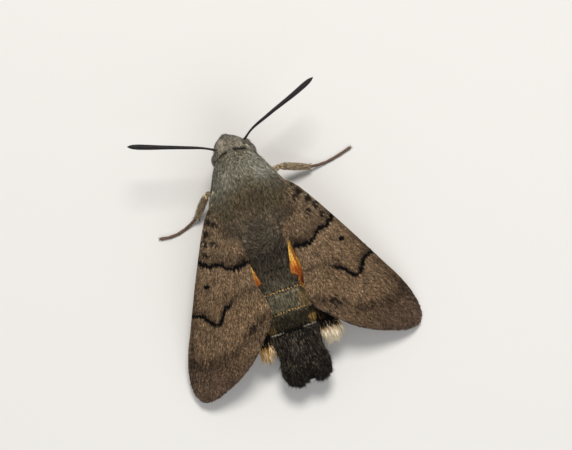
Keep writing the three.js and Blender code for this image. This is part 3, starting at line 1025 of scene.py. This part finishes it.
def brow_roots():
    """Roots of the hair that stands out from the crown and the collar over the eyes."""
    rng = np.random.default_rng(91)
    count = HAIRS["brow"]
    share = rng.uniform(size=count)
    side = rng.choice([-1, 1], count)
    roots = read(BROW, share) + rng.normal(size=(count, 3)) * (0.12, 0.08, 0.1)
    roots[:, 0] *= side
    normals = unit(rows(side * 0.45, -0.1, 0.9))
    flow = rows(side * (0.9 - share * 0.6), 0.15 + share * 1.1, -0.12)
    length = np.where(side > 0, 0.45, 0.85) * (0.75 + 0.4 * share)
    return roots, normals, flow, length, np.full(count, 0.28)


def grow_waist_strands():
    """Loose pale hairs that cross over the waist."""
    rng = np.random.default_rng(95)

    def on_waist(p):
        return (p[:, 1] > 8) & (p[:, 1] < 11.9) & (p[:, 2] > 1.6)

    roots, normals = scatter(skin, on_waist, HAIRS["waist"], 96)
    roots = roots + normals * 0.28
    turn = -np.sign(roots[:, 0] + 0.4 * rng.normal(size=len(roots))) * rng.uniform(0.2, 1.8, len(roots))
    grow("coat_waist_strands", "body_fur", STRAND, roots, normals, rows(turn, 0.8, 0), 0.8, 0.05, 97, 0.08,
         jitter=0.18, wander=0.25, rings=2)


def grow_segment_edges():
    """A row of flat scales along the rear edge of each segment, dark and pale by turns."""
    rng = np.random.default_rng(99)
    groups = []
    for edge, reach, count in EDGE_ROWS:
        x = rng.uniform(-reach, reach, count)
        y = edge - 0.15 + rng.normal(size=count) * 0.03
        half, top, bottom = read(THORAX, y).T
        share = np.sqrt(1 - (x / half) ** 2)
        height = (top - bottom) / 2 + (top + bottom) / 2 * share
        groups.append((rows(x, y, height - 0.08), unit(rows(x / half ** 2 * top, 0, share))))
    roots, normals = stack(*groups)
    flow = np.tile((0.0, 1.0, -0.05), (len(roots), 1))
    grow("coat_segment_edges", "abdomen_fur", EDGE, roots, normals, flow, 0.2, 0.1, 98, 0.05, jitter=0.1,
         wander=0.1, sink=0.03, thickness=0.25, rings=2)


def thorax_length(p):
    """Short on the collar, longest over the back and shorter again at the waist."""
    return 0.5 + 0.14 * grade(p[:, 1], 1, 3) - 0.1 * grade(p[:, 1], 7, 2)


def overhang(p):
    """The underside and the rim of the flesh at the wing bases."""
    return (np.abs(p[:, 0]) > read(THORAX, p[:, 1])[:, 0] - 0.45) & (p[:, 2] > 0.4) & (p[:, 1] > 3.8)


def abdomen_length(p):
    """Hair ends at the rear edge of its own segment."""
    left = np.full(len(p), 9.0)
    for edge in SEGMENT_EDGES:
        gap = edge + 0.08 - p[:, 1]
        left = np.where((gap > 0) & (gap < left), gap, left)
    return np.clip(left, 0.28, 0.62 + 0.25 * grade(p[:, 1], 11.5, -1.5))


# The trunk's coats: piece, part, whether it is the upper side, number of hairs, their width, and seed.
TRUNK_COATS = (
    ("coat_thorax_back", "thorax", True, 43000, 0.08, 21),
    ("coat_thorax_breast", "thorax", False, 26000, 0.1, 31),
    ("coat_abdomen_back", "abdomen", True, 32000, 0.085, 41),
    ("coat_abdomen_under", "abdomen", False, 18000, 0.085, 51),
)


def grow_trunk(name, part, above, count, width, seed):
    low, high = (0.4, ABDOMEN) if part == "thorax" else (ABDOMEN, TAIL)

    def on_part(p):
        inside = (p[:, 1] >= low) & (p[:, 1] < high) & ~on_head(p) & off_parting(p)
        return inside & ((p[:, 2] > 0) if above else (p[:, 2] <= 0))

    roots, normals = scatter(skin, on_part, count, seed)
    if part == "abdomen":
        shape = {"length": abdomen_length(roots), "lift": 0.27, "tufts": (0.12, 7)}
    else:
        near = beside_parting(roots)
        rim = (np.abs(roots[:, 0]) > 3.1) & (roots[:, 1] > 3.9) & (normals[:, 1] < -0.35) & (roots[:, 2] > 0)
        length = thorax_length(roots) * np.where(overhang(roots) & ~rim, 0.4, 1) * (1 - 0.5 * near)
        shape = {"length": length, "lift": 0.24 + 0.7 * near, "wander": 0.13, "tufts": (0.1, 5)}
    slot = "body_fur" if part == "thorax" else "abdomen_fur"
    grow(name, slot, FUR, roots, normals, trunk_flow(roots), width=width, seed=seed + 1, **shape)


def grow_head():
    roots, normals = scatter(skin, lambda p: on_head(p) & off_parting(p), HAIRS["head"], 11)
    crown = (roots, normals, head_flow(roots), head_length(roots), 0.34 + 0.5 * beside_parting(roots))
    roots, normals, flow, length, lift = stack(crown, brow_roots())
    grow("coat_head", "body_fur", FUR, roots, normals, flow, length, 0.075, 12, lift, wander=0.16,
         tufts=(0.15, 6))


grow_head()
grow_shoulders()
grow_waist_strands()
for row in TRUNK_COATS:
    grow_trunk(*row)
grow_segment_edges()
settle(skin, "head", "thorax", "abdomen", "palp_left", "palp_right", slot="body_fur", finish=SKIN)

for side, name in ((1, "left"), (-1, "right")):
    place = (side * EYE_PLACE[0], *EYE_PLACE[1:])
    eye = primitive(
        "compound_eye_" + name, "uv_sphere", segments=64, ring_count=40, radius=EYE_RADIUS, location=place
    )
    bpy.ops.object.shade_smooth()
    settle(eye, "eye_" + name, slot="eye", finish=EYE)


# Tail brush and side tufts


def tail_end(x):
    """How far back the brush reaches at a place across it: two lobes with a notch between."""
    lobes = 27.35 - 0.68 * np.abs(np.abs(x + 0.05) - 1.1) ** 1.2
    ragged = 0.2 * np.sin(x * 9) * np.sin(x * 4 + 1) + 0.26 * np.sin(x * 17 + 2 * np.sin(x * 5))
    notch = 1.5 * np.exp(-(((x + 0.15) / 0.34) ** 2))
    return lobes + ragged - notch


def tuft_end(x):
    """The rounded and ragged end of a side tuft."""
    ragged = 0.36 * np.sin(x * 7.5 + 1) + 0.24 * np.sin(x * 19)
    return 23.6 - 0.4 * (np.abs(x) - 3.8) ** 2 + ragged - 0.2 * (x > 0)


def brush_place(across, up, y):
    """A place in the tail brush, from its shares of the half width and the height."""
    half, top, bottom = read(BRUSH, y).T
    return across * half, (top - bottom) / 2 + up * (top + bottom) / 2


def tuft_place(side):
    """Gives the place in the side tuft of one side, from its shares of the half width and the height."""
    def place(across, up, y):
        centre, half, thick = read(SIDE_TUFT, y).T
        out = TUFT_ROOT + (centre - TUFT_ROOT + across * half) * TUFT_WIDTH[side]
        return side * out, TUFT_HEIGHT + up * thick / 2
    return place


def brush_hair(name, node, section, count, seed, starts, lengths, ends, finish, width, ragged, sway, side=1):
    """Long hairs that follow the shape of a tuft from section to section, in overlapping layers.

    section gives places in the tuft. ends gives how far back it reaches at a place across.
    """
    rng = np.random.default_rng(seed)
    angle = rng.uniform(0, 2 * math.pi, count)
    depth = np.sqrt(rng.uniform(0.3, 1, count))
    across, up = depth * np.cos(angle), depth * np.sin(angle)
    start = starts[0] + (starts[1] - starts[0]) * rng.uniform(size=count) ** 0.85
    length = rng.uniform(*lengths, count)
    waves = rng.normal(size=(count, 2)) * sway
    root_x, root_z = section(across, up, start)
    far_x, _ = section(across, up, start + length)
    end = ends(far_x) - np.abs(rng.normal(size=count)) * ragged + rng.exponential(0.16, count)
    last = np.minimum(start + length, end)
    tip_x, tip_z = section(across, up, last)
    roots = rows(root_x, start, root_z)
    tips = rows(tip_x + waves[:, 0], last, tip_z + waves[:, 1] * 0.4)
    lie = unit(tips - roots)
    ups = laid_on(rows(across * 0.3 * side, 0, up), lie)
    sides = unit(np.cross(lie, ups))
    width = width * rng.uniform(0.7, 1.3, count)
    random = rng.uniform(size=(count, 2))
    piece = hair_mesh(name, [roots], tips, sides, ups, [width], 0.35, roots, random, rows(angle, start))
    settle(piece, node, slot="tail_fur", finish=finish)


def tail_finish():
    """Black hair with brown and grey strands, paler along its run in places."""
    finish = Finish("tail_hair", Roughness=0.65, Specular_IOR_Level=0.15)
    _, _, y, _ = finish.mark("root")
    _, random, run, other = finish.mark("hair")
    shades = ((0, (6, 5, 5)), (0.5, (22, 20, 17)), (0.74, (60, 53, 44)), (1, (116, 105, 89)))
    grey = finish.rise(other, 0.84, 0.94) * finish.rise(run, 0.35, 0.75)
    fade = 1.3 - finish.rise(y + run * 3, 24.5, 27) * 0.85
    colour = finish.mix(grey, finish.ramp(random, shades), (116, 106, 92))
    return finish.set(Base_Color=finish.shade(colour, fade))


def tuft_finish():
    """Black at the root, then buff, with white tips."""
    finish = Finish("tuft_hair", Roughness=0.65, Specular_IOR_Level=0.15)
    rise = finish.rise
    place, x, y, z = finish.mark("root")
    _, random, run, other = finish.mark("hair")
    reach = y + run * (1.5 + random * 0.8)
    outward = rise(reach + other * 0.3, 22.3, 22.6)
    patch = finish.band(y, 19.8, 0.4, 0.2) * (1 - rise(abs(x), 3.2, 3.6)) * rise(z, -0.2, 0)
    colour = finish.paint(
        (9, 8, 8),
        (rise(reach, 21.95, 22.2), finish.mix(other, (172, 122, 50), (226, 180, 106))),
        (outward * rise(random - x * 0.17, 0, 0.2), finish.mix(other, (255, 230, 186), (255, 246, 226))),
        (patch * rise(random, 0.3, 0.7) * (1 - rise(run, 0.45, 0.7)), (150, 114, 64)),
    )
    locks = rise(finish.noise(place, 3.2, 2, 0.6), 0.36, 0.62)
    return finish.set(Base_Color=finish.shade(colour, (0.75 + random * 0.6) * (0.6 + locks * 0.65)))


TAIL_HAIR = tail_finish()
TUFT_HAIR = tuft_finish()

brush_hair(
    "coat_tail_brush", "tail_brush", brush_place, HAIRS["tail brush"], 61, (20.9, 26.7), (0.35, 1), tail_end,
    TAIL_HAIR, width=0.07, ragged=0.34, sway=0.2,
)
for side, name in ((1, "left"), (-1, "right")):
    brush_hair(
        "coat_side_tuft_" + name, "side_tuft_" + name, tuft_place(side), HAIRS["side tuft"], 71 + side,
        (18.4, 22.5), (1.1, 2), tuft_end, TUFT_HAIR, width=0.12, ragged=0.3, sway=0.18, side=side,
    )


# Wings


def wing_points(name, u, n, lift):
    """Places on a wing, from the distance from its hinge and the distance behind its middle line."""
    side, _, hinge, spread, drop = WINGS[name]
    spread = math.radians(spread)
    out = hinge[0] + u * math.sin(spread) - n * math.cos(spread)
    y = hinge[1] + u * math.cos(spread) + n * math.sin(spread)
    return rows(side * out, y, roof(out, y) - drop - 0.2 + lift)


def outline_and_reach(name):
    outline = WINGS[name][1]
    return outline, outline[-1][0]


def wing_relief(name, u, n):
    """Veins, as a height."""
    outline, reach = outline_and_reach(name)
    front, rear = read(outline, u).T
    share = (n - front) / np.maximum(rear - front, 0.1)
    veins = np.cos(share * 2 * math.pi * WING_VEINS[name.split("_")[0]]) ** 8
    return 0.05 * veins * np.clip(u / reach * 2.2 - 0.5, 0, 1)


def veined_points(name, u, n):
    return wing_points(name, u, n, wing_relief(name, u, n))


def wing_skin(name):
    outline, reach = outline_and_reach(name)
    piece, along, across = unit_grid(name + "_sheet", 120, 40)
    u = reach * np.sin(along * math.pi / 2)
    front, rear = read(outline, u).T
    n = front + (rear - front) * across
    set_rows(piece.data.vertices, "co", veined_points(name, u, n))
    mark(piece.data, "root", rows(u, n, 0))
    close_up(merge=0.001)
    modify(piece, "SOLIDIFY", thickness=WING_SHEET, offset=0)
    bpy.ops.object.shade_smooth_by_angle(angle=math.radians(50))
    return piece


def wing_frame(name, u, n):
    """Place, normal, and the ways along and across the wing at each root."""
    step = 0.02
    here = veined_points(name, u, n)
    out = veined_points(name, u + step, n) - here
    back = veined_points(name, u, n + step) - here
    normal = unit(np.cross(out, back))
    normal *= np.sign(normal[:, 2:3])
    return here, normal, unit(out), unit(back)


# Scales on the two sides of a wing: side, length, width, and the part of the map's width that they have.
TOP_SCALES = (1, 0.27, 0.115, (0, 0.54))
UNDER_SCALES = (-1, 0.32, 0.17, (0.56, 0.84))
FRINGE_MAP = (0.86, 1)


def wing_scales(name, count, seed, face, length, width, part):
    """Overlapping flat scales on one side of a wing, each a closed pyramid laid along the veins."""
    outline, reach = outline_and_reach(name)
    rng = np.random.default_rng(seed)
    u = rng.uniform(0, reach, count * 4)
    n = rng.uniform(-2, 7.2, count * 4)
    front, rear = read(outline, u).T
    keep = np.flatnonzero((n > front + 0.07) & (n < rear - 0.04) & (u < reach - 0.2))[:count]
    u, n, front, rear = u[keep], n[keep], front[keep], rear[keep]
    here, normal, out, back = wing_frame(name, u, n)
    share = (n - front) / np.maximum(rear - front, 0.1)
    flow = out + back * (share[:, None] - 0.2) * 0.75
    normal = normal * face
    roots = here + normal * WING_SHEET / 2
    lie = laid_on(unit(flow + 0.16 * rng.normal(size=(len(u), 3))), normal)
    size = rng.uniform(0.75, 1.25, len(u))
    height = 0.035 + 0.05 * rng.uniform(size=len(u))
    tips = roots + lie * (length * size)[:, None] + normal * height[:, None]
    return hair_mesh(
        "coat_" + name, [roots - normal * 0.02], tips, unit(np.cross(lie, normal)), normal, [width * size],
        0.25, rows(u, n, float(face)), rng.uniform(size=(len(u), 2)), rows(u / reach, n / 9), part,
    )


def fringe(name, count, seed):
    """Hair along the outer and rear edges of a wing."""
    outline, reach = outline_and_reach(name)
    rng = np.random.default_rng(seed)
    u = rng.uniform(reach * 0.05, reach * 0.985, count)
    rear = read(outline, u)[:, 1]
    step = 0.05
    slope = (read(outline, u + step)[:, 1] - rear) / step
    inset = rng.uniform(0.02, 0.3, count)
    here, normal, out, back = wing_frame(name, u, rear - inset)
    outward = laid_on(back, unit(out + back * slope[:, None]))
    along = np.where(u > reach * 0.55, 0.5, 1.3)[:, None]
    lie = laid_on(unit(outward + out * along + 0.18 * rng.normal(size=(count, 3))), normal)
    start = here + normal * rng.choice([-1.0, 1.0], count)[:, None] * 0.03
    length = rng.uniform(0.5, 1, count) * 0.32 * np.where(u > reach * 0.57, 1, 0.35)
    tips = start + lie * (length + inset * 0.6)[:, None] + normal * (0.06 * rng.normal(size=count))[:, None]
    return hair_mesh(
        name + "_fringe", [start], tips, unit(np.cross(lie, normal)), normal, [np.full(count, 0.1)], 0.3,
        rows(u, rear, 2.0), rng.uniform(size=(count, 2)), rows(u / reach, inset), FRINGE_MAP,
    )


# The forewing's wavy rows: points of (behind the middle line, from the hinge), and the bounds of the second.
FIRST_ROW = (
    (-1.6, 6.9), (-1.2, 7.1), (-0.6, 7.4), (0.05, 7.5), (0.7, 7.2), (1.25, 7.25), (1.9, 7.48), (2.6, 7.58),
    (3.25, 7.32), (3.75, 6.95), (4.1, 6.78), (5, 6.4),
), 5, 9
SECOND_ROW = (
    (-1.8, 12.85), (-1, 12.94), (-0.45, 12.87), (0.05, 13.2), (0.7, 13.6), (1.3, 13.65), (1.6, 13.27),
    (1.8, 12.6), (2.05, 11.9), (2.7, 11.1), (3.2, 10.5), (3.85, 10), (4.6, 9.7), (6.5, 9.3),
), 9, 14
OUTER_FIELD = (
    (-2, 17.7), (1.2, 17.6), (2.1, 16.9), (2.9, 16.5), (3.6, 16.1), (4.1, 14.6), (4.8, 13.9), (5.4, 13),
    (7, 11.6),
), 11, 18

# Spots of the forewing: from the hinge, behind the middle line, and the blotches' size.
BLOTCHES = (
    (1.55, -0.7, 0.34), (2.7, -0.5, 0.38), (3.0, 0.2, 0.3), (4.1, -0.55, 0.42), (5.1, -0.7, 0.34),
    (5.0, 0.3, 0.3), (6.3, -0.5, 0.34),
)
DOT = (9.7, -0.15)

# The ground colours along the wings.
FOREWING_TOP = (
    (0, (124, 105, 82)), (2, (130, 110, 87)), (5, (148, 125, 97)), (6.8, (152, 126, 98)),
    (8.2, (168, 139, 108)), (12.5, (158, 129, 98)), (15, (160, 131, 101)), (17, (150, 122, 93)),
    (18.6, (130, 105, 82)), (20, (130, 106, 86)), (23, (136, 113, 94)),
)
FOREWING_UNDER = (
    (0, (206, 164, 100)), (6.9, (190, 142, 84)), (14.26, (156, 112, 74)), (19.55, (128, 94, 70)),
    (23, (108, 82, 64)),
)
# The hindwing's colours by share of its reach: the dark outer stops are partly its own dark margin and partly
# painted shadow from the forewing lying over it.
HINDWING_COLOURS_AND_SHADOW = (
    (0, (244, 190, 96)), (0.36, (255, 210, 104)), (0.45, (250, 176, 76)), (0.53, (206, 112, 42)),
    (0.61, (100, 42, 20)), (0.85, (84, 40, 22)), (1, (70, 42, 26)),
)


def forewing_colour(finish, on_scale):
    """Grey brown with wavy black rows, a dark outer field and a blotched base; warmer and plainer beneath."""
    rise, band = finish.rise, finish.band
    dark, shadow = (9, 8, 8), (52, 41, 34)
    place, u, n, side = finish.mark("root")
    fine = finish.noise(place, 2.6, 4)
    streaks = finish.noise(finish.vector(u * 0.5, n * 2.6), 1.5, 3, 0.65, "2D")
    grit = fine - 0.5
    fray = grit * 0.7 + (streaks - 0.5) * 0.7
    inner = rise(n, 0.4, 1.7) * band(u, 5.2, 1.3, 1.2)
    hollow = 1 - rise(distance(u - 3.5, n - 1.5) + grit * 0.8, 0.5, 1.1)
    first = finish.gap(u + fray, n, FIRST_ROW)
    before_first = rise(first, -1.8, -0.3) * (1 - rise(first, 0, 0.5))
    second = finish.gap(u + fray * 0.8, n, SECOND_ROW)
    fading = 1 - rise(n + grit * 2, 2.2, 3) * 0.65
    outer = u + fray * 1.8 - finish.line(n, *OUTER_FIELD)
    rear_streaks = band(u - n * 0.35, 12.2, 0.9, 0.6) * rise(n, 4.1, 4.6) * rise(streaks, 0.54, 0.62)

    def blotch(at, behind, size):
        far = distance(u - at + fray * 1.3, n - behind + grit * 1.6)
        return (1 - rise(far, size * 0.65, size * 1.45)) * 0.9

    dot_u, dot_n = u - DOT[0] + fray * 0.3, n - DOT[1]
    dot = 1 - rise((dot_u * dot_u * 1.1 + dot_n * dot_n * 0.7) ** 0.5, 0.24, 0.36)
    pale = rise(fine, 0.57, 0.64) * (1 - rise(u, 6.4, 7.2)) * rise(n, 0.9, -0.3)
    colour = finish.paint(
        finish.ramp(u + fray, FOREWING_TOP),
        (inner * 0.6, (150, 124, 96)),
        (rise(n, -0.6, -1.4) * 0.6, (88, 72, 58)),
        (hollow * 0.5, shadow),
        (before_first * (0.45 + rise(n, 1.6, 3.2) * 0.45), shadow),
        (1 - rise(abs(first) - grit * 0.4, 0.15, 0.32), dark),
        (band(second, -0.3, 0.15, 0.6) * fading * 0.4, shadow),
        ((1 - rise(abs(second) - grit * 0.4, 0.15, 0.3)) * fading, dark),
        (rise(outer, -0.4, 0.9) * 0.3, (82, 66, 54)),
        (band(outer, 0.5, 0.3, 0.7) * 0.75 * rise(streaks, 0.35, 0.6), shadow),
        (rear_streaks * 0.9, (34, 27, 23)),
        *((blotch(*spot), dark) for spot in BLOTCHES),
        (dot, dark),
        (pale * 0.7, (190, 168, 144)),
        (rise(side, 0, -0.5), finish.ramp(u + fray, FOREWING_UNDER)),
        (rise(side, 1.4, 1.6), finish.mix(rise(fine, 0.42, 0.6), (92, 74, 60), (134, 112, 92))),
    )
    if not on_scale:
        return finish.shade(colour, 0.5 + fine * 0.35)
    _, random, run, other = finish.mark("hair")
    level = 0.3 + random * random * 1.4 + rise(other, 0.93, 0.98) * 0.8
    wide, grain = finish.noise(place, 0.45, 2), finish.noise(place, 6.5, 2, 0.6)
    mottle = 0.24 + wide * 0.4 + rise(streaks, 0.32, 0.68) * 0.5 + rise(grain, 0.3, 0.7) * 0.6
    return finish.shade(colour, level * (0.8 + run * 0.3) * mottle)


def hindwing_colour(finish, on_scale):
    """Orange with an ochre base and a dark outer half, partly its own rust brown and partly painted shadow
    from the forewing over it, crossed by darker rays.
    """
    place, u, n, side = finish.mark("root")
    fine = finish.noise(place, 2.4, 3)
    share = u / 13.6 + finish.rise(n, 2.2, 3.6) * 0.1 + (fine - 0.5) * 0.08
    rays = finish.noise(finish.vector(n / (u * 0.18 + 1) * 2.2, u * 0.12), 3, 2, dimensions="2D")
    colour = finish.paint(
        finish.ramp(share, HINDWING_COLOURS_AND_SHADOW),
        (finish.rise(rays, 0.5, 0.6) * 0.8, (160, 72, 24)),
        (finish.rise(side, 1.4, 1.6), (200, 150, 84)),
    )
    if not on_scale:
        return finish.shade(colour, 0.7 + fine * 0.3)
    _, random, run, _ = finish.mark("hair")
    return finish.shade(colour, (0.8 + random * 0.4) * (0.9 + run * 0.15))


def wing_finish(name, colour, on_scale):
    finish = Finish(name, Roughness=0.75, Specular_IOR_Level=0.12)
    if on_scale:
        return finish.set(Base_Color=colour(finish, True))
    ribs = finish.noise(finish.mark("root")[0], 9, 2)
    return finish.set(Base_Color=colour(finish, False), Normal=finish.bump(ribs, 0.00004))


WING_FINISHES = {
    kind: (wing_finish(kind + "_sheet", colour, False), wing_finish(kind + "_scales", colour, True))
    for kind, colour in (("forewing", forewing_colour), ("hindwing", hindwing_colour))
}


def wings():
    """Each wing is a sheet with a coat of scales on both sides and a fringe."""
    for k, name in enumerate(WINGS):
        kind = name.split("_")[0]
        sheet, scales = WING_FINISHES[kind]
        top_count, under_count, fringe_count = WING_ROOTS[kind]
        settle(wing_skin(name), name, slot=kind + "_scales", finish=sheet)
        top = wing_scales(name, top_count, 100 + k, *TOP_SCALES)
        under = wing_scales(name, under_count, 110 + k, *UNDER_SCALES)
        coat = join("coat_" + name, top, under, fringe(name, fringe_count, 120 + k))
        settle(coat, slot=kind + "_scales", finish=scales)


wings()


# Feelers, tongue and legs


def horn_finish(name, dark, pale, scale, rough=0.45):
    """Bare horny parts: feelers, tongue, claws and feet."""
    finish = Finish(name, Specular_IOR_Level=0.25)
    grain = finish.noise(finish.node("ShaderNodeTexCoord", out=3), scale, 2)
    colour = finish.mix(finish.rise(grain, 0.4, 0.65), dark, pale)
    return finish.set(Base_Color=colour, Roughness=rough + grain * 0.25, Normal=finish.bump(grain, 0.00002))


def leg_finish():
    finish = Finish("leg_hair", Roughness=0.75, Specular_IOR_Level=0.15)
    _, random, run, _ = finish.mark("hair")
    shades = ((0, (62, 47, 34)), (0.2, (82, 64, 46)), (0.28, (200, 174, 136)), (1, (255, 236, 198)))
    return finish.set(Base_Color=finish.shade(finish.ramp(random, shades), 0.75 + run * 0.35))


HORN = horn_finish("feeler_horn", (12, 9, 11), (42, 35, 39), 9000)
LIMB = horn_finish("limb_horn", (70, 55, 42), (150, 127, 98), 6000)
TONGUE = horn_finish("tongue_horn", (50, 30, 20), (84, 52, 32), 5000, 0.35)
FOOT = horn_finish("foot_horn", (62, 46, 38), (132, 104, 86), 15000)


def smooth_route(points, count):
    """Places evenly spaced along a smooth route through points."""
    points = np.array(points, float)
    run = np.concatenate([[0], np.cumsum(np.linalg.norm(np.diff(points, axis=0), axis=1))])
    return read(np.column_stack([run, points]), np.linspace(0, run[-1], count))


def feelers():
    """Clubbed feelers with a fine groove at every third ring."""
    for side, name in ((1, "left"), (-1, "right")):
        route = smooth_route(FEELERS[side], 190)
        thick = read(FEELER_RADII, np.linspace(0, 1, len(route)))[:, 0]
        grooves = 1 + 0.1 * np.where(np.arange(len(route)) % 3 == 0, -1, 0.4)
        settle(tube("feeler_" + name, route, thick * grooves), "antenna_" + name, slot="antenna", finish=HORN)


def tongue():
    """The tongue, rolled up between the palps."""
    share = np.linspace(0, 1, 240)
    angle = math.pi * 0.55 + share * ROLL_TURNS * 2 * math.pi
    radius = 0.62 - share * 0.57
    route = rows(0, ROLL_CENTRE[0] + radius * np.cos(angle), ROLL_CENTRE[1] + radius * np.sin(angle))
    settle(tube("tongue", route, 0.096 - share * 0.04), "proboscis", slot="proboscis", finish=TONGUE)


def over_floor(point):
    """A point given by across, along and height over the floor, in the body frame."""
    across, along, height = point
    up = (height - BODY_ORIGIN[2] + along * math.sin(BODY_TILT)) / math.cos(BODY_TILT)
    return Vector((-across, along, up))


def limb(hip, knee, ankle, spur_shares):
    """A femur and a tibia, with pairs of spurs at these shares of the tibia."""
    parts = [rod("femur", hip, knee, FEMUR), rod("tibia", knee, ankle, TIBIA)]
    way = (ankle - knee).normalized()
    aside = way.cross(Vector((0, 0, 1))).normalized()
    for share in spur_shares:
        root = knee + (ankle - knee) * share
        for turn in (1, -1):
            tip = root + way * 1.0 + aside * turn * 0.42
            height = (BODY_FRAME @ tip).z / MM
            if height < SPUR_CLEARANCE:
                tip = tip + Vector((0, 0, SPUR_CLEARANCE - height))
            parts.append(rod("spur", root, tip, SPUR, 8))
    return parts


def foot(ankle, points):
    """Joints of the foot laid along the floor, and two claws."""
    route = smooth_route([ankle] + [over_floor((*point, FOOT_RADIUS)) for point in points], 6)
    parts = [rod("tarsomere", start, end, FOOT_JOINT, 10) for start, end in zip(route, route[1:])]
    end, back = Vector(route[-1]), Vector(route[-2])
    way = (end - back).normalized()
    aside = way.cross(Vector((0, 0, 1))).normalized()
    for turn in (1, -1):
        bend = end + way * 0.16 + aside * turn * 0.1 + Vector((0, 0, 0.04))
        tip = end + way * 0.24 + aside * turn * 0.2 + Vector((0, 0, -0.09))
        parts.append(rod("claw", end, bend, ((0, 0.05), (1, 0.035)), 7))
        parts.append(rod("claw", bend, tip, ((0, 0.035), (1, 0.006)), 7))
    return parts


def limb_hair(start, end, radius, count, seed, length):
    """Roots of short hair round a leg's segment, lying towards the foot, and where they are on it."""
    rng = np.random.default_rng(seed)
    start, end = np.array(start), np.array(end)
    run = np.linalg.norm(end - start)
    way = (end - start) / run
    aside = unit(np.cross(way, [0, 0, 1]))
    share = rng.uniform(0, 0.97, count)
    angle = rng.uniform(0, 2 * math.pi, count)
    normals = aside * np.cos(angle)[:, None] + np.cross(way, aside) * np.sin(angle)[:, None]
    shape = radius * (0.85 + 0.3 * np.sin(share * math.pi))
    roots = start + way * (share * run)[:, None] + normals * shape[:, None]
    return roots, normals, np.tile(way, (count, 1)), length * (1.1 - 0.5 * share), angle, share


def stand_on_floor(piece):
    """Flattens what would go under the floor, so that the feet rest on it."""
    points = get_rows(piece.data.vertices, "co")
    points[:, 2] = np.maximum(points[:, 2], 0)
    set_rows(piece.data.vertices, "co", points)


def legs():
    """Three pairs of legs. Returns the roots of their hair, a list for each segment."""
    hair = []
    for index, row in enumerate(("front", "middle", "hind")):
        limbs, feet = [], []
        thick = 0.85 if row == "front" else 1
        for turn, name in enumerate((row + "_left", row + "_right")):
            joints, points = LEGS[name]
            hip, knee, ankle = [over_floor(point) for point in joints]
            hip = hip + Vector((0, 0, HIP_RISE))
            limbs += limb(hip, knee, ankle, SPUR_SHARES[row])
            feet += foot(ankle, points)
            seed = 200 + index * 2 + turn
            hair.append(limb_hair(hip, knee, 0.26 * thick, HAIRS["femur"], seed, 0.45))
            hair.append(limb_hair(knee, ankle, 0.24 * thick, HAIRS["tibia"], seed + 20, 0.66))
        nodes = [f"{part}_{row}_{side}" for part in ("femur", "tibia") for side in ("left", "right")]
        settle(join("limbs_" + row, *limbs), *nodes, slot="leg_fur", finish=LIMB)
        joined = join("feet_" + row, *feet)
        settle(joined, f"tarsus_{row}_left", f"tarsus_{row}_right", slot="tarsus", finish=FOOT)
        stand_on_floor(joined)
    return hair


def leg_coat(hair):
    """One coat on all legs, with the segments side by side on the map."""
    roots, normals, flow, length, angle, share = stack(*hair)
    segment = np.repeat(np.arange(len(hair)), [len(parts[0]) for parts in hair])
    grow("coat_legs", "leg_fur", leg_finish(), roots, normals, flow, length, 0.075, 240, 0.42, jitter=0.18,
         wander=0.1, sink=0.03, place=rows(angle / 7 + segment, share), keep_clear=False)


feelers()
tongue()
leg_coat(legs())
